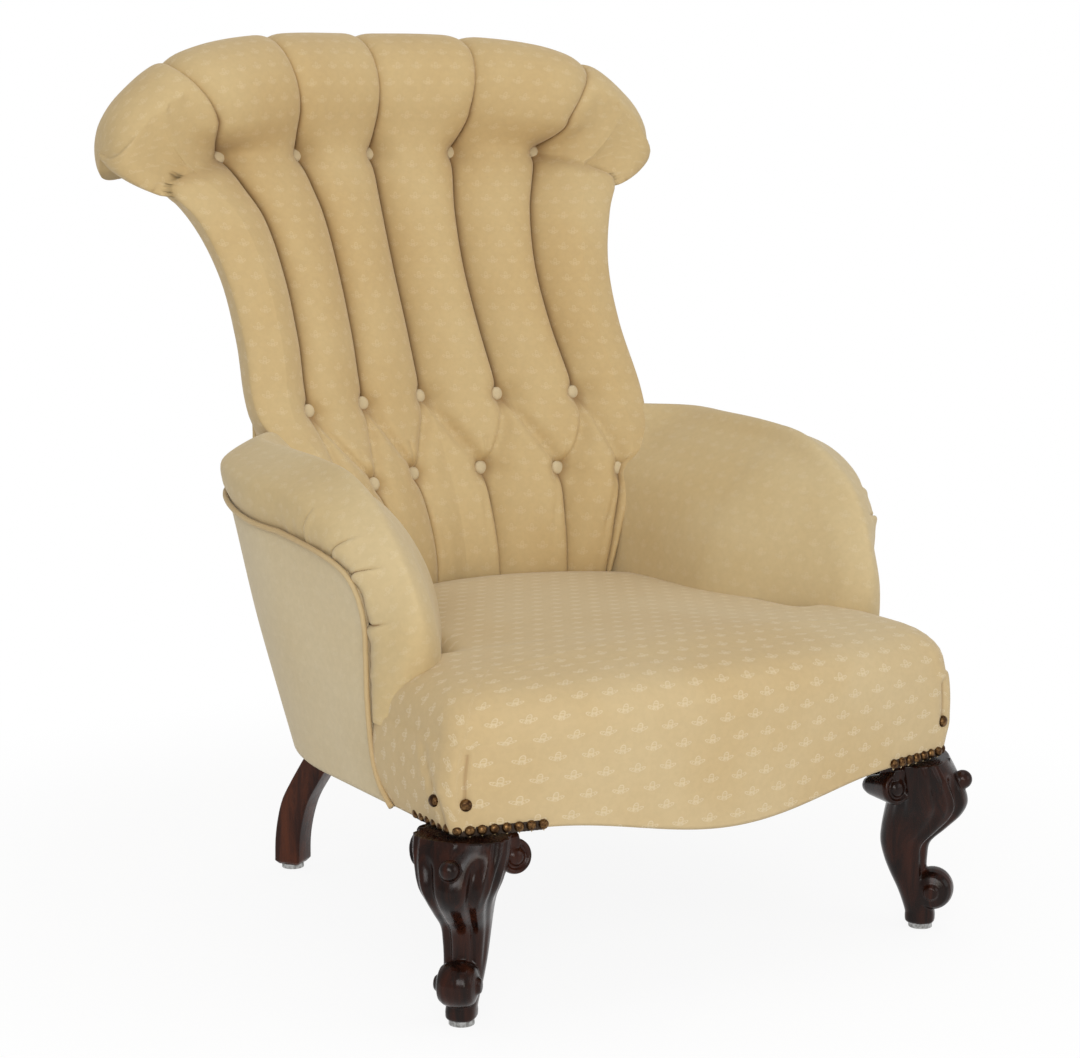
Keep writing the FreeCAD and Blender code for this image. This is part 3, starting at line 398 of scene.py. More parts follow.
def sprig_group():
    # Small half-drop sprigs of three hatched lobes, woven in long floats on a ribbed ground
    group, given, out = new_group(
        "damask_sprigs",
        (("Place", "Vector", None), ("Across", "Float", SPRIG_ACROSS), ("Up", "Float", SPRIG_UP),
         ("Thread", "Float", THREAD)),
        (("Sprig", "Float"), ("Rib", "Float")))
    w = Wires(group)
    place, across, up, thread = [given.outputs[k] for k in ("Place", "Across", "Up", "Thread")]
    split = group.nodes.new("ShaderNodeSeparateXYZ")
    w.feed(split.inputs[0], place)
    u, v = split.outputs[0], split.outputs[1]
    row = w.math("DIVIDE", v, up)
    drop = w.math("MULTIPLY", w.math("FLOORED_MODULO", w.math("FLOOR", row), 2.0), 0.5)
    column = w.math("ADD", w.math("DIVIDE", u, across), drop)
    x = w.math("MULTIPLY", w.math("SUBTRACT", w.math("FRACT", column), 0.5), across)
    y = w.math("MULTIPLY", w.math("SUBTRACT", w.math("FRACT", row), 0.5), up)
    motif = None
    for cx, cy, degrees, wide, tall in SPRIG_LOBES:
        turn = math.radians(degrees)
        dx, dy = w.math("SUBTRACT", x, cx), w.math("SUBTRACT", y, cy)
        cos, sin = math.cos(turn), math.sin(turn)
        a = w.math("ADD", w.math("MULTIPLY", dx, cos / wide), w.math("MULTIPLY", dy, sin / wide))
        b = w.math("SUBTRACT", w.math("MULTIPLY", dy, cos / tall), w.math("MULTIPLY", dx, sin / tall))
        far = w.math("SQRT", w.math("ADD", w.math("MULTIPLY", a, a), w.math("MULTIPLY", b, b)))
        rim = w.step(w.math("ABSOLUTE", w.math("SUBTRACT", far, 0.84)), 0.24, 0.10)
        hatch = w.step(w.math("SINE", w.math("MULTIPLY", b, 9.5)), 0.1, 0.7)
        inside = w.math("MULTIPLY", w.step(far, 0.95, 0.80), hatch)
        lobe = w.math("MAXIMUM", rim, w.math("MULTIPLY", inside, 0.8))
        motif = lobe if motif is None else w.math("MAXIMUM", motif, lobe)
    floats = w.math("SINE", w.math("MULTIPLY", w.math("DIVIDE", v, thread), math.pi))
    motif = w.math("MULTIPLY", motif, w.step(floats, -0.9, 0.3, 0.60, 1.0))
    over = w.math("SINE", w.math("MULTIPLY", w.math("DIVIDE", u, thread), 2 * math.pi))
    under = w.math("SINE", w.math("MULTIPLY", w.math("DIVIDE", v, thread), 2 * math.pi))
    w.feed(out.inputs["Sprig"], motif)
    w.feed(out.inputs["Rib"], w.math("MULTIPLY", w.math("ADD", over, under), 0.5))
    return group


# Lobes of one sprig: middle across and up, turn in degrees, half width and half height
SPRIG_LOBES = (
    (0.0004, 0.0016, -8.0, 0.0021, 0.0034), (-0.0033, -0.0010, 58.0, 0.0016, 0.0030),
    (0.0036, -0.0008, -62.0, 0.0016, 0.0029), (0.0003, -0.0032, 90.0, 0.0009, 0.0022),
)


def tint_group():
    # Slow drift of colour from handling and light, with small slubs
    group, given, out = new_group("cloth_tint", (("Scale", "Float", 5.0), ("Slub", "Float", 160.0)),
                                  (("Drift", "Float"), ("Slubs", "Float")))
    w = Wires(group)
    here = w.node("TexCoord", 3)
    drift = w.node("TexNoise", 0, Vector=here, Scale=given.outputs["Scale"], Detail=3.0, Roughness=0.55)
    slubs = w.node("TexNoise", 0, Vector=here, Scale=given.outputs["Slub"], Detail=2.0, Roughness=0.6)
    w.feed(out.inputs["Drift"], drift)
    w.feed(out.inputs["Slubs"], slubs)
    return group


def new_material(name):
    material = bpy.data.materials.new(name)
    material.use_nodes = True
    shader = material.node_tree.nodes["Principled BSDF"]
    return material, Wires(material.node_tree), shader


def blend(w, share, low, high):
    mixed = w.node("Mix", 2, settings={"data_type": "RGBA"}, Factor=share)
    w.feed(mixed.node.inputs[6], low)
    w.feed(mixed.node.inputs[7], high)
    return mixed


def damask(name, ground, sprig, warm, pattern=1.0):
    # The cover's cloth: its ground, its sprigs, the warmer patches and how strongly the pattern shows, with
    # painted shade darkening it in the folds
    material, w, shader = new_material(name)
    coords = material.node_tree.nodes.new("ShaderNodeTexCoord")
    woven = w.place(sprigs, Place=coords.outputs["UV"])
    tint = w.place(tints)
    crease = w.node("Attribute", 2, settings={"attribute_name": "crease"})
    mask = w.math("MULTIPLY", woven["Sprig"], pattern)
    base = blend(w, w.step(tint["Drift"], 0.35, 0.68), ground, warm)
    base = blend(w, w.math("MULTIPLY", mask, 0.50), base, sprig)
    # Painted shade: the colour darkens towards a brown where a point lies deep in a fold
    base = blend(w, w.step(crease, 0.50, 1.0, 0.0, 0.72), base, CREASE_SHADE_COLOUR)
    shade = w.node("HueSaturation", 0, Color=base, Value=w.step(tint["Slubs"], 0.3, 0.7, 0.975, 1.02))
    w.feed(shader.inputs["Base Color"], shade)
    w.feed(shader.inputs["Roughness"], w.math("SUBTRACT", 0.74, w.math("MULTIPLY", mask, 0.20)))
    shader.inputs["Specular IOR Level"].default_value = 0.30
    shader.inputs["Sheen Weight"].default_value = 0.20
    shader.inputs["Sheen Roughness"].default_value = 0.45
    shader.inputs["Sheen Tint"].default_value = (1.0, 0.94, 0.82, 1.0)
    height = w.math("ADD", w.math("MULTIPLY", woven["Rib"], 0.10), w.math("MULTIPLY", mask, 0.40))
    height = w.math("ADD", height, w.math("MULTIPLY", tint["Slubs"], 0.30))
    w.feed(shader.inputs["Normal"], w.node("Bump", 0, Strength=0.35, Distance=0.0006, Height=height))
    return material


GRAIN_STRETCH = (60.0, 60.0, 9.0)


def grain_group():
    # Long wood grain along one axis
    group, given, out = new_group(
        "wood_grain", (("Place", "Vector", None), ("Stretch", "Vector", GRAIN_STRETCH)),
        (("Grain", "Float"), ("Pores", "Float")))
    w = Wires(group)
    scaled = w.node("VectorMath", 0, settings={"operation": "MULTIPLY"})
    w.feed(scaled.node.inputs[0], given.outputs["Place"])
    w.feed(scaled.node.inputs[1], given.outputs["Stretch"])
    grain = w.node("TexNoise", 0, Vector=scaled, Scale=1.0, Detail=5.0, Roughness=0.6, Distortion=0.8)
    pores = w.node("TexNoise", 0, Vector=scaled, Scale=5.0, Detail=3.0, Roughness=0.7)
    w.feed(out.inputs["Grain"], grain)
    w.feed(out.inputs["Pores"], pores)
    return group


def wood(name, dark, light, grain, rough, coat=0.0, worn=None):
    material, w, shader = new_material(name)
    here = material.node_tree.nodes.new("ShaderNodeTexCoord").outputs["Object"]
    parts = w.place(grain, Place=here, Stretch=GRAIN_STRETCH)
    base = blend(w, w.step(parts["Grain"], 0.35, 0.72), dark, light)
    if worn is not None:
        # Polish rubbed through on the proud edges
        edge = w.node("NewGeometry", 7)
        rubbed = w.math("MULTIPLY", w.step(edge, 0.52, 0.64), w.step(parts["Grain"], 0.42, 0.62))
        base = blend(w, w.math("MULTIPLY", rubbed, 0.55), base, worn)
    w.feed(shader.inputs["Base Color"], base)
    w.feed(shader.inputs["Roughness"], w.step(parts["Pores"], 0.3, 0.8, rough, rough + 0.18))
    shader.inputs["Coat Weight"].default_value = coat
    shader.inputs["Specular IOR Level"].default_value = 0.16
    shader.inputs["Coat Roughness"].default_value = 0.16
    w.feed(shader.inputs["Normal"], w.node("Bump", 0, Strength=0.12, Distance=0.0004, Height=parts["Pores"]))
    return material


def woven_cloth(name, light, dark, pitch, rough=0.85, openness=0.5):
    # Plain woven cloth for the hessian, the webbing and the bottom cloth
    material, w, shader = new_material(name)
    here = material.node_tree.nodes.new("ShaderNodeTexCoord").outputs["Object"]
    split = material.node_tree.nodes.new("ShaderNodeSeparateXYZ")
    w.feed(split.inputs[0], here)
    over = w.math("SINE", w.math("MULTIPLY", split.outputs[0], 2 * math.pi / pitch))
    depth_way = w.math("ADD", split.outputs[1], split.outputs[2])
    under = w.math("SINE", w.math("MULTIPLY", depth_way, 2 * math.pi / pitch))
    weave = w.math("MULTIPLY", over, under)
    noise = w.node("TexNoise", 0, Vector=here, Scale=90.0, Detail=3.0)
    mask = w.math("ADD", w.math("MULTIPLY", weave, openness), noise)
    w.feed(shader.inputs["Base Color"], blend(w, w.step(mask, 0.0, 1.1), dark, light))
    shader.inputs["Roughness"].default_value = rough
    w.feed(shader.inputs["Normal"], w.node("Bump", 0, Strength=0.6, Distance=pitch / 4, Height=weave))
    return material


def metal(name, bright, worn, rough):
    material, w, shader = new_material(name)
    here = material.node_tree.nodes.new("ShaderNodeTexCoord").outputs["Object"]
    patina = w.node("TexNoise", 0, Vector=here, Scale=210.0, Detail=4.0, Roughness=0.65)
    w.feed(shader.inputs["Base Color"], blend(w, w.step(patina, 0.38, 0.62), bright, worn))
    shader.inputs["Metallic"].default_value = 1.0
    w.feed(shader.inputs["Roughness"], w.step(patina, 0.3, 0.7, rough, rough + 0.2))
    w.feed(shader.inputs["Normal"], w.node("Bump", 0, Strength=0.25, Distance=0.0002, Height=patina))
    return material


def srgb(r, g, b):
    def linear(c):
        c /= 255
        return c / 12.92 if c <= 0.04045 else ((c + 0.055) / 1.055) ** 2.4
    return (linear(r), linear(g), linear(b), 1.0)


# Painted shade: the dark brown the cloth turns to deep in its seams, folds and pleats
CREASE_SHADE_COLOUR = srgb(124, 86, 44)
sprigs, tints, grain = sprig_group(), tint_group(), grain_group()
cover = damask("gold_damask", srgb(193, 172, 132), srgb(216, 202, 172), srgb(188, 164, 121))
back_cover = damask("gold_damask_back", srgb(194, 170, 124), srgb(214, 196, 160), srgb(189, 162, 114), 0.65)
arm_cover = damask("gold_damask_arm", srgb(194, 174, 133), srgb(212, 198, 166), srgb(190, 167, 122), 0.45)
plain_cover = damask("gold_damask_plain", srgb(200, 184, 150), srgb(216, 203, 174), srgb(196, 178, 141), 0.30)
piping_cover = damask("gold_piping", srgb(192, 170, 128), srgb(202, 184, 146), srgb(186, 160, 116), 0.15)
braid_cloth = woven_cloth("dark_braid", srgb(70, 52, 36), srgb(34, 24, 17), 0.0016)
mahogany = wood("dark_mahogany", srgb(20, 10, 7), srgb(52, 24, 14), grain, 0.17, 0.06, worn=srgb(92, 46, 26))
rear_mahogany = wood("red_mahogany", srgb(42, 18, 10), srgb(88, 44, 24), grain, 0.26, 0.04)
beech = wood("frame_beech", srgb(176, 138, 92), srgb(204, 170, 124), grain, 0.55)
stuffing_cloth = woven_cloth("stuffing_calico", srgb(226, 217, 196), srgb(196, 184, 158), 0.0012,
                             openness=0.3)
hessian_cloth = woven_cloth("hessian_weave", srgb(176, 148, 104), srgb(108, 84, 52), 0.0024)
webbing_cloth = woven_cloth("webbing_weave", srgb(196, 178, 140), srgb(140, 118, 84), 0.0032, openness=0.4)
bottom_black = woven_cloth("bottom_lining", srgb(44, 42, 40), srgb(22, 21, 20), 0.0014, openness=0.3)
brass = metal("antique_nail", srgb(122, 92, 58), srgb(62, 42, 28), 0.34)
steel = metal("glide_metal", srgb(176, 176, 174), srgb(128, 127, 124), 0.30)


# The inside back and the roll above it, in one skin

def back_place(z):
    share = z / HEIGHT
    return [curve(BACK_SHARES, share, column) for column in (1, 2, 3)]


def seam_sink(z):
    # Between two rows of buttons the seams lie deeper than at the buttons
    if z >= MIDDLE_BUTTON_HEIGHT:
        t = (z - MIDDLE_BUTTON_HEIGHT) / (UPPER_BUTTON_HEIGHT - MIDDLE_BUTTON_HEIGHT)
        return SEAM_SINK * math.sin(math.pi * min(1.0, t)) ** 0.7
    return 0.0


def valley_y(s, z):
    middle, edge = back_place(z)[1:]
    return depth(mix(middle, edge, min(1.0, abs(s)) ** SEAM_CURVE))


def back_arc(z):
    share = z / HEIGHT
    half = curve(OUTSIDE_BACK_SHARES, share, 1) * HALF_WIDTH
    end_y = depth(curve(OUTSIDE_BACK_SHARES, share, 2))
    middle_y = depth(back_place(z)[1]) + BACK_STUFFING
    sag = middle_y - end_y
    radius = (half ** 2 + sag ** 2) / (2 * sag)
    return half, middle_y - radius, radius


def back_arc_y(x, z, inset=0.0):
    centre, radius = back_arc(z)[1:]
    return centre + math.sqrt((radius - inset) ** 2 - x ** 2)


def anchor_places(z):
    z = min(max(z, ANCHOR_SHARES[0][0]), ANCHOR_SHARES[-1][0])
    i = max([k for k in range(3) if ANCHOR_SHARES[k][0] <= z])
    low, high = ANCHOR_SHARES[i], ANCHOR_SHARES[i + 1]
    t = (z - low[0]) / (high[0] - low[0])
    return np.array([mix(a, b, t) for a, b in zip(low[1:], high[1:])])


def column_table():
    # Gap number and share across the gap for each column of the right half, close together at seams
    gaps, shares = [], []
    for gap in range(OUTER_GAP + 1):
        for k in range(GAP_COLUMNS):
            gaps.append(gap)
            shares.append((1 - math.cos(math.pi * k / GAP_COLUMNS)) / 2)
    return np.array(gaps + [OUTER_GAP]), np.array(shares + [1.0])


GAPS, GAP_SHARES = column_table()
HALF_COLUMNS = len(GAPS)
OUTER_SEAM = MAIN_ANCHORS[-1] * GAP_COLUMNS


def spread_columns(anchors):
    return mix(anchors[GAPS], anchors[GAPS + 1], GAP_SHARES)


def column_places(z):
    return spread_columns(anchor_places(z))


def roll_place(q, turn, inset):
    across, lift, size = [curve(ROLL_SHARES, min(q, 1.0), column) for column in (1, 2, 3)]
    radius = max(0.0, ROLL_RADIUS * size - inset * min(1.0, (1 - q) / 0.2))
    y = depth(across) - radius * math.sin(turn)
    z = (HEIGHT - ROLL_RADIUS) * lift - radius * math.cos(turn)
    return np.array([q * HALF_WIDTH, y, z])


def hermite(a, b, way_a, way_b, t):
    size = np.linalg.norm(b - a)
    return ((2 * t ** 3 - 3 * t ** 2 + 1) * a + (t ** 3 - 2 * t ** 2 + t) * way_a * size
            + (3 * t ** 2 - 2 * t ** 3) * b + (t ** 3 - t ** 2) * way_b * size)


def back_heights():
    low = np.linspace(SEAT_END_HEIGHT, LOWER_BUTTON_HEIGHT, LOW_ROWS, endpoint=False)
    cells = np.linspace(LOWER_BUTTON_HEIGHT, MIDDLE_BUTTON_HEIGHT, CELL_ROWS, endpoint=False)
    # Rows lie closer where the fold under the roll's ends runs
    high = np.linspace(MIDDLE_BUTTON_HEIGHT, FOLD_HEIGHT, HIGH_ROWS - FOLD_ROWS, endpoint=False)
    fold = np.linspace(FOLD_HEIGHT, UPPER_BUTTON_HEIGHT - 0.001, FOLD_ROWS)
    return np.concatenate([low, cells, high, fold])


# The wrap round the edge thins by this share, and the seams fan out over these degrees of the roll
EDGE_TAPER = 0.55
FAN_START, FAN_SPAN = 55, 115


def back_columns():
    # Valley and crest of every column of the right half, row by row, then both sides of the wrap
    heights = back_heights()
    rows, columns = BACK_ROWS + JOIN_ROWS + ROLL_ROWS, HALF_COLUMNS
    valley, crest = np.zeros((rows, columns, 3)), np.zeros((rows, columns, 3))
    outer = GAPS == OUTER_GAP
    quarter = GAP_SHARES * (math.pi / 2)
    for r, z in enumerate(heights):
        s = column_places(z)
        half, _, edge = back_place(z)
        lift = curve(FLUTE_LIFT, z, 1)
        x = s * half * HALF_WIDTH
        y = np.array([valley_y(share, z) for share in s])
        crest[r] = np.stack([x, y - lift, np.full(columns, z)], 1)
        valley[r] = np.stack([x, y + seam_sink(z), np.full(columns, z)], 1)
        start = OUTER_GAP * GAP_COLUMNS
        apex_x, apex_y, edge_x, edge_y = x[start], y[start] - lift, half * HALF_WIDTH, depth(edge)
        turn = quarter[outer]
        crest[r][outer, 0] = apex_x + (edge_x - apex_x) * np.sin(turn)
        crest[r][outer, 1] = apex_y + (edge_y - apex_y) * (1 - np.cos(turn))
        drop = lift * (1 - EDGE_TAPER * GAP_SHARES[outer])
        valley[r][outer, 0] = crest[r][outer, 0] - drop * np.sin(turn)
        valley[r][outer, 1] = crest[r][outer, 1] + drop * np.cos(turn)
    turns = np.linspace(ROLL_START, ROLL_END, ROLL_ROWS)
    low_anchors, high_anchors = anchor_places(UPPER_BUTTON_HEIGHT), np.array(ROLL_ANCHORS)
    for k, turn in enumerate(turns):
        fan = float(ease((math.degrees(turn) - FAN_START) / FAN_SPAN))
        for c, q in enumerate(spread_columns(mix(low_anchors, high_anchors, fan))):
            crest[BACK_ROWS + JOIN_ROWS + k, c] = roll_place(q, turn, 0.0)
            valley[BACK_ROWS + JOIN_ROWS + k, c] = roll_place(q, turn, ROLL_FLUTE)
    tangent = np.array([0, -math.cos(ROLL_START), math.sin(ROLL_START)])
    for side in (valley, crest):
        a, b = side[BACK_ROWS - 1], side[BACK_ROWS + JOIN_ROWS]
        rise = side[BACK_ROWS - 1] - side[BACK_ROWS - 3]
        rise /= np.linalg.norm(rise, axis=1)[:, None]
        for k in range(JOIN_ROWS):
            t = (k + 1) / (JOIN_ROWS + 1)
            side[BACK_ROWS + k] = [hermite(a[c], b[c], rise[c], tangent, t) for c in range(columns)]
    return heights, turns, valley, crest


def distance_to(points, path):
    # Distance of each point from a run of straight pieces
    best = np.full(points.shape[:-1], 1e9)
    path = np.array(path, float)
    for a, b in zip(path, path[1:]):
        run = b - a
        t = np.clip(((points - a) @ run) / (run @ run), 0, 1)
        best = np.minimum(best, np.linalg.norm(points - (a + t[..., None] * run), axis=-1))
    return best


# How deep and how wide the seams are over the roll, by turn in degrees
ROLL_SEAM_TURNS = (60, 78, 100, 140, 190, 240, 290)
ROLL_SEAM_DEPTHS = (1.00, 0.95, 0.78, 0.66, 0.55, 0.35, 0.00)
ROLL_SEAM_WIDTHS = (1.00, 0.80, 0.55, 0.40, 0.30, 0.24, 0.20)


# How far the main seams run on below the middle buttons, and the cells' seams above the lower ones
MAIN_SEAM_END, CELL_SEAM_END = 0.026, 0.022
# Over this height the cells' seams narrow and grow shallow, to these shares
CELL_FADE_HEIGHT, CELL_LOW_WIDTH, CELL_LOW_DEPTH, CELL_DEPTH = 0.090, 0.62, 0.62, 0.92
DIMPLE_REACH = 0.032


def back_fullness(heights, turns, valley):
    # How full the stuffing is at each place, 0 in a seam and 1 on a crest
    rows = valley.shape[0]
    t = GAP_SHARES
    even = GAPS % 2 == 0
    to_main = np.where(GAPS == OUTER_GAP, 1.0, np.where(even, t, 1 - t))
    to_cell = np.where(GAPS == OUTER_GAP, t, np.where(even, 1 - t, t))
    full = np.ones(valley.shape[:2])
    z = np.concatenate([heights, np.full(rows - BACK_ROWS, UPPER_BUTTON_HEIGHT)])
    below = np.clip((MIDDLE_BUTTON_HEIGHT - z) / MAIN_SEAM_END, 0, None)[:, None]
    full *= pillow(np.sqrt(to_main ** 2 + below ** 2))
    above = np.clip((z - LOWER_BUTTON_HEIGHT) / CELL_SEAM_END, 0, None)[:, None]
    low = ease((LOWER_BUTTON_HEIGHT - z) / CELL_FADE_HEIGHT)[:, None]
    cell = pillow(np.sqrt(to_cell ** 2 + above ** 2) / mix(1.0, CELL_LOW_WIDTH, low))
    full *= 1 - mix(CELL_DEPTH, CELL_LOW_DEPTH, low) * (1 - cell)
    for k in range(JOIN_ROWS + ROLL_ROWS):
        turn = mix(60, 75, k / JOIN_ROWS) if k < JOIN_ROWS else math.degrees(turns[k - JOIN_ROWS])
        deep = np.interp(turn, ROLL_SEAM_TURNS, ROLL_SEAM_DEPTHS)
        wide = np.interp(turn, ROLL_SEAM_TURNS, ROLL_SEAM_WIDTHS)
        full[BACK_ROWS + k] = 1 - deep * (1 - pillow(to_main / wide))
    for path, wide, deep in fold_lines():
        full *= 1 - deep * (1 - pillow(distance_to(valley, path) / wide))
    for place in button_places():
        if place[0] >= 0:
            gap = np.linalg.norm(valley - place, axis=-1)
            full *= pillow(gap / DIMPLE_REACH) * 0.97 + 0.03
    # A little ease in the folds between the lower rows, where they cross the columns
    first, last = LOW_ROWS - 6, LOW_ROWS + CELL_ROWS + 2
    zone = full[first - 1:last + 1]
    zone = 0.25 * zone[:-2] + 0.5 * zone[1:-1] + 0.25 * zone[2:]
    sides = np.concatenate([zone[:, 1:2], zone, zone[:, -1:]], 1)
    full[first:last] = 0.25 * sides[:, :-2] + 0.5 * sides[:, 1:-1] + 0.25 * sides[:, 2:]
    return full


def back_spot(s, z):
    return np.array([s * back_place(z)[0] * HALF_WIDTH, valley_y(s, z), z])


def button_places():
    places = []
    rows = ((UPPER_BUTTON_HEIGHT, 3, MAIN_ANCHORS), (MIDDLE_BUTTON_HEIGHT, 2, MAIN_ANCHORS),
            (LOWER_BUTTON_HEIGHT, 1, CELL_ANCHORS))
    for z, row, anchors in rows:
        for anchor in anchors:
            s = ANCHOR_SHARES[row][anchor + 1]
            for side in (1, -1) if s > 0 else (1,):
                place = back_spot(s, z)
                places.append(np.array([side * place[0], place[1], z]))
    return places


# The fold that parts each end of the roll from the outer flute: share across and height
END_FOLD = ((0.640, 0.765), (0.730, 0.760), (0.830, 0.752), (0.930, 0.740), (1.000, 0.724))
# Width and depth of each kind of fold, and how far the folds between the buttons bow
CELL_FOLD_SIZE, END_FOLD_SIZE = (0.020, 0.92), (0.018, 0.88)
TUCK_SIZE, PULL_SIZE = (0.008, 0.22), (0.007, 0.20)
FOLD_BOW = 0.022


def fold_lines():
    # Folds between the rows of buttons, tucks above and below them, and the fold under the roll's end
    middle = [ANCHOR_SHARES[2][k + 1] for k in MAIN_ANCHORS]
    lower = [ANCHOR_SHARES[1][k + 1] for k in CELL_ANCHORS]
    lines = []
    for a, b in ((0, 0), (1, 0), (1, 1), (2, 1), (2, 2)):
        path = []
        for t in np.linspace(0, 1, 9):
            z = mix(MIDDLE_BUTTON_HEIGHT, LOWER_BUTTON_HEIGHT, t)
            bow = FOLD_BOW * math.sin(math.pi * t) * (1 if lower[b] < middle[a] else -1)
            path.append(back_spot(mix(middle[a], lower[b], t) + bow, z))
        lines.append((path, *CELL_FOLD_SIZE))
    for s in lower:
        tuck = ((s + 0.004, LOWER_BUTTON_HEIGHT), (s - 0.012, LOWER_BUTTON_HEIGHT + 0.034))
        pull = ((s - 0.035, LOWER_BUTTON_HEIGHT - 0.006), (s - 0.055, 0.372), (s - 0.060, SEAT_END_HEIGHT))
        lines.append(([back_spot(*place) for place in tuck], *TUCK_SIZE))
        lines.append(([back_spot(*place) for place in pull], *PULL_SIZE))
    lines.append(([back_spot(s, z) - [0, 0.004, 0] for s, z in END_FOLD], *END_FOLD_SIZE))
    return lines


# Each end of the roll: its swell, the depth and width of the fold under it, and the rows it takes in by share
END_BULGE, FOLD_SINK, FOLD_WIDTH = 0.009, 0.007, 0.016
END_SHARES, END_ROLL_ROWS = (0.62, 0.90, 1.00), (12, 8, 0)


def round_ends(right):
    # Each end of the roll swells in one round form from the fold up over the roll
    fold_shares = [place[0] for place in END_FOLD]
    spread = column_places(UPPER_BUTTON_HEIGHT)
    for c in np.flatnonzero(spread > END_SHARES[0]):
        fold = np.interp(spread[c], fold_shares, [place[1] for place in END_FOLD])
        first = int(np.argmax(right[:, c, 2] >= fold))
        deep = FOLD_SINK * float(ease((spread[c] - END_SHARES[0]) / 0.10))
        below = np.linalg.norm(right[:first + 1, c] - right[first, c], axis=1)
        right[:first + 1, c, 1] += deep * (1 - pillow(below / FOLD_WIDTH))
        last = BACK_ROWS + JOIN_ROWS + int(round(np.interp(spread[c], END_SHARES, END_ROLL_ROWS)))
        strip = right[first:last + 1, c]
        run = np.concatenate([[0], np.cumsum(np.linalg.norm(np.diff(strip, axis=0), axis=1))])
        t = run / run[-1]
        chord = strip[-1] - strip[0]
        out = np.array([0.25, -abs(chord[2]), -abs(chord[1])]) / np.linalg.norm(chord)
        out = out / np.linalg.norm(out)
        size = END_BULGE * (1 + float(ease((spread[c] - 0.84) / 0.16)))
        span = strip[0] + t[:, None] * chord + (size * np.sin(math.pi * t) ** 0.55)[:, None] * out
        right[first:last + 1, c] = mix(strip, span, float(ease((spread[c] - END_SHARES[0]) / 0.14)))


# The buttons' dimples, the lift of the wrap's end as it climbs into the roll, the shift of the pattern from
# flute to flute, and the hidden rear of the stuffing
DIMPLE_SINK, DIMPLE_WIDTH = 0.001, 0.011
POLE_LIFT = 0.008
FLUTE_SHIFT_ACROSS, FLUTE_SHIFT_UP = 0.0031, 0.0047
REAR_LEVELS, REAR_STEPS, REAR_MARGIN = 11, 8, 0.012
WRAP_ROWS = BACK_ROWS + JOIN_ROWS + 1


def press_buttons(right, valley):
    # Dimples where the buttons draw the cover in
    for place in button_places():
        if place[0] >= 0:
            gap = np.linalg.norm(valley - place, axis=-1)
            right[..., 1] += (BUTTON_SINK + DIMPLE_SINK) * np.exp(-(gap / DIMPLE_WIDTH) ** 2)


def wrap_side(right, heights):
    # From the edge round to the welt of the outside back, then up to the roll's pole
    pole = right[-1, -1].copy()
    wrap = np.zeros((WRAP_ROWS, WRAP_COLUMNS + 1, 3))
    turn = np.linspace(0, math.pi / 2, WRAP_COLUMNS + 1)
    welt = []
    for z in heights:
        out_x = back_arc(z)[0]
        welt.append(np.array([out_x, back_arc_y(out_x, z) - PANEL_THICKNESS, z]))
    for r in range(WRAP_ROWS):
        start = right[r, -1]
        if r < BACK_ROWS:
            end = welt[r]
        else:
            t = (r - BACK_ROWS + 1) / (JOIN_ROWS + 1)
            end = mix(welt[-1], pole, t) + np.array([0, 0, POLE_LIFT * math.sin(math.pi * t)])
        wrap[r, :, 0] = start[0] + (end[0] - start[0]) * (1 - np.cos(turn))
        wrap[r, :, 1] = start[1] + (end[1] - start[1]) * np.sin(turn)
        wrap[r, :, 2] = mix(start[2], end[2], turn / turn[-1])
    # The end fold carries on round the edge to the welt
    fold_height = END_FOLD[-1][1]
    fold_start = np.array(right[int(np.argmin(abs(heights - fold_height))), -1])
    fold_end = welt[int(np.argmin(abs(heights - fold_height + 0.008)))]
    gap = distance_to(wrap, [fold_start, fold_end])
    wrap[:, :-1] -= (FOLD_SINK * (1 - pillow(gap / 0.014)))[:, :-1, None] * np.array([0.9, -0.4, 0.0])
    return wrap


def cloth_lengths(right, crest):
    # Length of cloth across from the middle of the back, and up each column from the upper buttons
    rows, half = right.shape[:2]
    across = np.cumsum(np.linalg.norm(np.diff(right, axis=1), axis=2), 1)
    across = np.concatenate([np.zeros((rows, 1)), across], 1)
    up = np.cumsum(np.linalg.norm(np.diff(crest, axis=0), axis=2), 0)
    up = np.concatenate([np.zeros((1, half)), up], 0)
    return across, up - up[BACK_ROWS]


def sheet_uvs(heights, across, up):
    # Each flute and each cell has its own run of cloth, measured from its middle
    rows, half = across.shape
    centre = half - 1
    uvs = []
    for r in range(rows - 1):
        z = heights[min(r, BACK_ROWS - 1)]
        zig = (z - LOWER_BUTTON_HEIGHT) / (MIDDLE_BUTTON_HEIGHT - LOWER_BUTTON_HEIGHT)
        for c in range(2 * half - 2):
            sign = 1 if c >= centre else -1
            a = c - centre if sign > 0 else centre - c - 1
            gap, t = GAPS[a], (GAP_SHARES[a] + (GAP_SHARES[a + 1] or 1.0)) / 2
            to_cell = t if gap % 2 == 0 else 1 - t
            lower = zig < 1 - to_cell
            flute = 2 * ((gap + 1) // 2) if lower else 2 * (gap // 2) + 1
            anchor = min(flute * GAP_COLUMNS, half - 1)
            corners = ((r, a), (r, a + 1), (r + 1, a + 1), (r + 1, a)) if sign > 0 else \
                ((r, a + 1), (r, a), (r + 1, a), (r + 1, a + 1))
            for row, column in corners:
                u = across[row, column] - across[row, anchor] + (flute % 5) * FLUTE_SHIFT_ACROSS
                v = up[row, min(anchor, OUTER_SEAM)] + flute * FLUTE_SHIFT_UP
                uvs.append((sign * u + SPRIG_ACROSS / 2, v))
    return uvs


